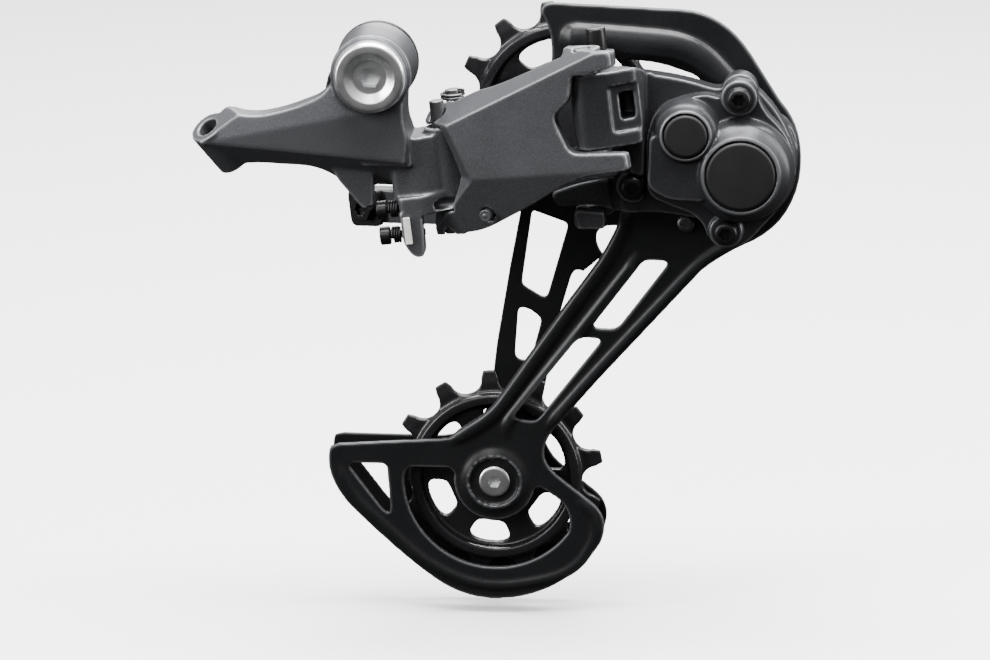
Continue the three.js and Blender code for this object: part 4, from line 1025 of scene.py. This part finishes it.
bushing_bronze = turned_steel("bushing_bronze", (0.36, 0.2, 0.075), 0.34, 0.2)
refinished("pivot_bushing", bushing_bronze)
refinished("one_way_sleeve", machined_steel)
refinished("friction_band", machined_steel)
refinished("clutch_cam", machined_steel)

spring_seat = Matrix.Translation((CAGE_PIVOT[0], -6.25, CAGE_PIVOT[1])) @ ALONG_Y
cage_spring = coil(4.0, 7.6, 6.7, 0.72, 14, 40, spring_seat)
machined("cage_spring_wound", cage_spring, "changer_knuckle", "cage_spring", machined_steel, 80)

axle = turned([
    [0, -20.4], [3.3, -20.4, 0.4], [3.3, 1.7], [4.2, 1.7], [4.2, 4.3], [5.6, 4.3, 0.2], [5.6, 5, 0.3], [0, 5],
], *CAGE_PIVOT)
machined("cage_axle_turned", bored(axle, hex_socket(*CAGE_PIVOT, 4, 3, 8)), "cage", "cage_axle",
         machined_steel)


# ---------------------------------------------------------------- clutch lever
# The on-off lever for the clutch: a flat grey arm behind the knuckle, with a thumb tab at its end. It turns
# on a peg that passes through the knuckle to the cam.

lever_grey = satin_paint("lever_grey", (0.05, 0.051, 0.056), (0.085, 0.087, 0.094), (0.2, 0.205, 0.215),
                         3200, 0.4, 0.4)


def clutch_lever():
    arm = slab([
        [79.4, -9.8, 3], [84.6, -13, 3], [81.4, -17.8, 3], [60.6, -39.4, 1.5], [55.2, -41.2, 1],
        [53.4, -37.6, 1], [74.8, -14.6, 3],
    ], -2.6, -1.4)
    tab = slab([[51.4, -37.2, 1.4], [59.2, -36.8, 1.2], [59.4, -42.2, 1.2], [51.4, -42.4, 1.6]], -7, -1.4)
    tab = bored(tab, half_space((51.8, -7, -38.8), (-0.62, -0.66, -0.2)),
                half_space((55, -7, -37.8), (0.05, -0.7, 0.7)))
    return fused(arm, tab, rod(*CAM_AXIS, 1.8, -10.6, -1.4, 40))


cast("clutch_lever_moulded", clutch_lever(), "clutch_lever", "clutch_lever", lever_grey, 0.22, 4)


# ---------------------------------------------------------------- outer cage plate
# A forged aluminium plate that carries both pulleys. A round ridge stiffens the guard above the guide
# pulley, the arm has raised edges with a hollow between them, and the foot is a wide guard.

GUIDE = (joint_at["guide_pulley_spin"].x, joint_at["guide_pulley_spin"].z)
TENSION = (joint_at["tension_pulley_spin"].x, joint_at["tension_pulley_spin"].z)
STOP_SCREW = (80, -41.9)


def guard_edge():
    """The edge of the foot, from its rear tip round below the tension pulley to the arm."""
    return [
        (-13.8, -105), *curved((-13.8, -105), (-15.8, -112.5), (-8.6, -120.9)),
        *curved((-8.6, -120.9), (6, -135.4), (15, -141.4), 10),
        *curved((15, -141.4), (20.6, -145.1), (26.6, -145.8)),
        *arc(*TENSION, 32.7, 264, 330, 30), *curved((58.3, -129.6), (61, -122.8), (55.4, -118.6)),
        (46.3, -111.4),
    ]


def crescent():
    """The opening in the foot, round the tension pulley's hub."""
    return [
        *arc(*TENSION, 24, 180, 325, 60), *curved((49.7, -127.1), (51, -121), (46.3, -117.5)),
        *curved((43, -115.2), (41.2, -114.3), (40.4, -116), 5), *arc(*TENSION, 10.8, 345, 172, 44),
        *curved((19.3, -111.8), (18.9, -109.9), (16.6, -109.9), 5),
        *curved((8.6, -109.9), (6, -109.9), (6, -113.3), 6)[:-1],
    ]


FOOT_WINDOW = [[-9.4, -109.3, 2.2], [1.3, -109.3, 1.4], [2.5, -125, 4.6]]


def through(corners):
    return slab(corners, -20, 30)


def ridge(path, half_width, height, base=2.3, fade=7):
    """A low round ridge on the outer face, along a bent path, that runs out at both ends."""
    line = rounded(path, 8)
    spots = [line[0]]
    for point in line[1:]:
        steps = max(1, int((point - spots[-1]).length / 1.5))
        start = spots[-1]
        spots += [start + (point - start) * (step / steps) for step in range(1, steps + 1)]
    run = [0]
    for before, here in zip(spots, spots[1:]):
        run.append(run[-1] + (here - before).length)
    points, faces = [], []
    for index, spot in enumerate(spots):
        ahead = spots[min(index + 1, len(spots) - 1)] - spots[max(index - 1, 0)]
        across = Vector((-ahead.y, ahead.x)).normalized()
        share = math.sin(math.pi / 2 * min(1, max(0.04, min(run[index], run[-1] - run[index]) / fade)))
        for step in range(11):
            angle = math.pi * step / 10
            side = spot + across * (half_width * (0.5 + 0.5 * share) * math.cos(angle))
            points.append((side.x, base - height * share * math.sin(angle), side.y))
        for turn in (-1, 1):
            side = spot + across * (half_width * (0.5 + 0.5 * share) * turn)
            points.append((side.x, base + 1, side.y))
    rows = 13
    for index in range(len(spots) - 1):
        here, there = index * rows, (index + 1) * rows
        faces += [[here + i, here + (i + 1) % rows, there + (i + 1) % rows, there + i] for i in range(rows)]
    faces += [list(range(rows)), list(range((len(spots) - 1) * rows, len(spots) * rows))[::-1]]
    return closed_mesh(points, faces)


def outer_plate():
    outline = [
        *guard_edge(), *curved((46.3, -111.4), (40, -106), (46, -98.5)), (57.8, -84.6), (84, -55.2),
        *curved((84, -55.2), (88, -51.6), (95, -48)), *curved((95, -48), (107, -43), (109.3, -30)),
        *curved((109.3, -30), (111, -17), (104, -9.6)), (96.4, 2.4),
        *curved((96.4, 2.4), (89, 13.7), (78, 14)), (45.5, 15.3),
        *curved((45.5, 15.3), (42, 15.4), (42, 12.6)),
        *curved((42, 12.6), (45.6, 8), (44.6, -2)), *arc(*GUIDE, 8.6, 150, 262, 24), (57, -26),
        *curved((57, -26), (63.6, -31), (63.6, -40)), *curved((63.6, -40), (63.4, -46), (58.4, -51.3)),
        (47.7, -66.3), (37.5, -80.9), (28.6, -94.4), *curved((28.6, -94.4), (24.6, -101.4), (15.5, -102.2)),
        (-11.5, -104.1),
    ]
    return bored(
        fused(
            prism(outline, 2, 4),
            ridge([[46.4, 6.2], [62, 5.4, 4], [76.8, 4.3, 4], [83, 1.7, 4], [92, -8]], 4.3, 2.7, fade=5),
            ridge([[64.6, -35], [64.6, -42.5, 4], [59.8, -52.4, 5], [49.2, -67.3, 5], [29.8, -95.6, 5],
                   [17, -104]], 1.9, 1.3),
            ridge([[67.6, -49], [66.4, -53.6, 3], [52.8, -71.8, 5], [32.4, -98.4, 4], [34.5, -103]],
                  1.7, 1.2),
            ridge([[42.8, -100.2], [45.2, -96.7, 3], [56.3, -83.4, 5], [82.2, -54.4, 5], [87, -50.4, 4],
                   [95, -46]], 1.5, 1.1),
            ridge([[50, -116.6], [56, -121.6, 3], [57.4, -128, 5], [50.6, -139, 9], [28, -143.6, 10],
                   [12, -137, 8], [-8.6, -117.6, 6], [-12, -108]], 1.5, 0.8),
            turned([[0, 0.6], [6.4, 0.6, 0.5], [9.4, 2.0, 1.4], [9.8, 3], [0, 3]], *TENSION),
        ),
        through([[54, 1.4, 2.5], [72, 0.2, 4], [84.4, -3.8, 3], [80.6, -10, 3], [58, -7.6, 3]]),
        through([[69.2, -52.4, 1.8], [76, -52.7, 2.2], [62.2, -71.4, 2], [55.2, -71.2, 2.2]]),
        through([[52, -73.7, 2], [58.7, -73.9, 2.4], [41, -97, 2], [34.6, -96, 2.2]]),
        through(crescent()),
        through(FOOT_WINDOW),
        rod(*TENSION, 6.7, -2, 1.9), rod(*TENSION, 2.8, -2, 6), rod(*GUIDE, 2.8, -2, 6),
        rod(*CAGE_PIVOT, 4.6, -2, 6), rod(*STOP_SCREW, 1.6, -2, 6),
    )


plate_grey = satin_paint(
    "plate_grey", (0.006, 0.0062, 0.0068), (0.015, 0.0153, 0.0165), (0.09, 0.092, 0.097), 3400, 0.35, 0.2)
shader_of(plate_grey).inputs["Specular IOR Level"].default_value = MATT_SPECULAR
cast("outer_plate_forged", outer_plate(), "cage", "outer_plate", plate_grey, 0.41, 4)

stop_place = Matrix.Translation((STOP_SCREW[0], 0, STOP_SCREW[1]))
stop_screw = bored(fused(
    turned([[0, -1], [1.7, -1, 0.4], [2.35, -0.5, 0.4], [2.35, 1.7], [0, 1.7]], sides=48, place=stop_place),
    turned([[0, 1.2], [1.3, 1.2], [1.3, 4, 0.2], [0, 4]], sides=28, place=stop_place),
), cross_recess(1.4, 0.3, -3, -0.3, stop_place))
machined("stop_screw_turned", stop_screw, "cage", "stop_screw", pin_steel)


# ---------------------------------------------------------------- inner cage plate
# A thin plate stamped from steel and coated black, on the wheel side of the pulleys. The two pulley bolts
# hold it to the outer plate, and its foot has the same edge and openings as that plate's.


def inner_plate():
    outline = [
        *guard_edge(), *curved((46.3, -111.4), (41.6, -107), (41, -98)), (46.7, -69.2), (49.3, -60.2),
        *curved((49.3, -60.2), (50.4, -57.4), (52.5, -58.8), 5), (57.8, -54.3),
        *curved((57.8, -54.3), (55.2, -50.6), (56.2, -48.1), 5),
        *curved((56.2, -48.1), (57, -46), (62.2, -46.1), 5), (65.6, -40),
        *curved((65.6, -40), (66, -32), (56.6, -18)), *arc(*GUIDE, 9, -25, 205, 40), (36.4, -40),
        (33.2, -57.3), (29.6, -79.2), (28.2, -92), *curved((28.2, -92), (26.4, -104.4), (14, -104.6)),
        (-11.5, -104.4),
    ]
    return bored(
        prism(outline, 14, 15.5),
        through([[39, -42.4, 1], [48.6, -45.8, 1.4], [42.8, -66.6, 2], [36.2, -62.6, 1.4]]),
        through([[35.4, -68.6, 1.6], [38.6, -69.4, 1], [41.6, -71.8, 1.4], [38.6, -83.6, 2],
                         [34.4, -83, 2]]),
        through(crescent()),
        through(FOOT_WINDOW),
        rod(*TENSION, 2.8, 10, 20), rod(*GUIDE, 2.8, 10, 20),
    )


cast("inner_plate_stamped", inner_plate(), "cage", "inner_plate", black_steel, 0.36, 2)


# ---------------------------------------------------------------- pulleys
# Two thirteen-tooth wheels moulded in glossy black resin. Each runs on a steel bushing between two black
# washers, on a bolt through both plates. The teeth are the ridges left between thirteen round valleys.

PULLEY_MIDDLE = 9
TEETH = 13


def circle_tree():
    """Repeats the given shape round the Y axis at even steps."""
    tree, given = started_tree("round_and_round", (
        ("Shape", "Geometry", None), ("Count", "Int", TEETH), ("Turn", "Float", 0.0),
    ))
    line = tree.nodes.new("GeometryNodeMeshLine")
    place = tree.nodes.new("GeometryNodeInstanceOnPoints")
    index = tree.nodes.new("GeometryNodeInputIndex")
    share = tree.nodes.new("ShaderNodeMath")
    angle = tree.nodes.new("ShaderNodeMath")
    spin = tree.nodes.new("ShaderNodeCombineXYZ")
    line.inputs["Offset"].default_value = (0, 0, 0)
    share.operation = "DIVIDE"
    angle.operation = "MULTIPLY_ADD"
    angle.inputs[1].default_value = -2 * math.pi
    wired(
        tree,
        (given, "Count", line, "Count"), (line, "Mesh", place, "Points"), (given, "Shape", place, "Instance"),
        (index, "Index", share, 0), (given, "Count", share, 1), (share, "Value", angle, 0),
        (given, "Turn", angle, 2), (angle, "Value", spin, "Y"), (spin, "Vector", place, "Rotation"),
    )
    return finished_tree(tree, given, place, "Instances")


circle = circle_tree()


def around(shape, count, turn_degrees):
    """Copies of a shape that lies on +X, round the Y axis, the first turned from +X towards +Z."""
    return grown(circle, {"Count": count, "Turn": -math.radians(turn_degrees)}, shape=shape)


def valley():
    """The round space for one roller of the chain, open outwards."""
    hollow = arc(27.1, 0, 4.3, 100, 260, 16)
    return prism([*hollow, Vector((30.4, -6.7)), Vector((30.4, 6.7))], -6, 6)


def window(half_angle, inner=12.8, outer=18.8, steps=40):
    """An oval opening in the web, given by its half angle and its two radii."""
    outline = []
    for step in range(steps):
        turn = 2 * math.pi * step / steps
        along = math.copysign(abs(math.cos(turn)) ** 0.6, math.cos(turn))
        up = math.copysign(abs(math.sin(turn)) ** 0.6, math.sin(turn))
        radius = (inner + outer) / 2 + up * (outer - inner) / 2
        angle = math.radians(half_angle) * along * (0.93 + 0.07 * up)
        outline.append(Vector((radius * math.cos(angle), radius * math.sin(angle))))
    return prism(outline, -6, 6)


def pulley_wheel(axis, turn, windows, window_turn, half_angle):
    half = [[8.2, 3.5, 0.5], [8.2, 1.2, 0.8], [19.7, 1.2, 0.8], [19.9, 3.5, 0.4], [22.4, 3.5, 0.7],
            [22.7, 1.2, 1], [25.4, 1.15, 0.6], [28.5, 0.6, 0.3]]
    near = [[radius, -y, edge] for radius, y, edge in half]
    body = turned([[0, -3.5], *near, *half[::-1], [0, 3.5]], sides=130)
    wheel = bored(
        body,
        around(valley(), TEETH, turn + 180 / TEETH),
        around(window(half_angle), windows, window_turn),
        rod(0, 0, 4.3, -6, 6, 48),
    )
    wheel.transform(Matrix.Translation((axis[0], PULLEY_MIDDLE, axis[1])))
    return wheel


pulley_plastic = moulded("pulley_plastic", (0.009, 0.009, 0.01), 0.26, 2600, 0.000006)
for name, axis, turn, windows, window_turn, half_angle in (
    ("guide", GUIDE, 127.3, 5, 112, 23), ("tension", TENSION, 149.4, 6, 24, 19),
):
    cast(name + "_pulley_moulded", pulley_wheel(axis, turn, windows, window_turn, half_angle),
         name + "_pulley", name + "_pulley", pulley_plastic, 0.3, 2)
    machined(name + "_bushing_turned", ring(*axis, 2.7, 4, 5.4, 12.6, 0.2), "cage", name + "_bushing",
             machined_steel)
    bolt = turned([
        [0, 0.9], [3.6, 0.9, 0.3], [4.1, 1.2, 0.2], [4.1, 1.6], [2.4, 1.6], [2.4, 16.4, 0.3], [0, 16.4],
    ], *axis)
    machined(name + "_bolt_turned", bored(bolt, hex_socket(*axis, 3, -1, 3)), "cage", name + "_bolt",
             machined_steel)
    for side, low, high in (("outer", 4.3, 5.1), ("inner", 12.9, 13.7)):
        machined(name + "_washer_" + side + "_pressed", ring(*axis, 2.7, 7.6, low, high, 0.15), "cage",
                 name + "_washer_" + side, black_steel)
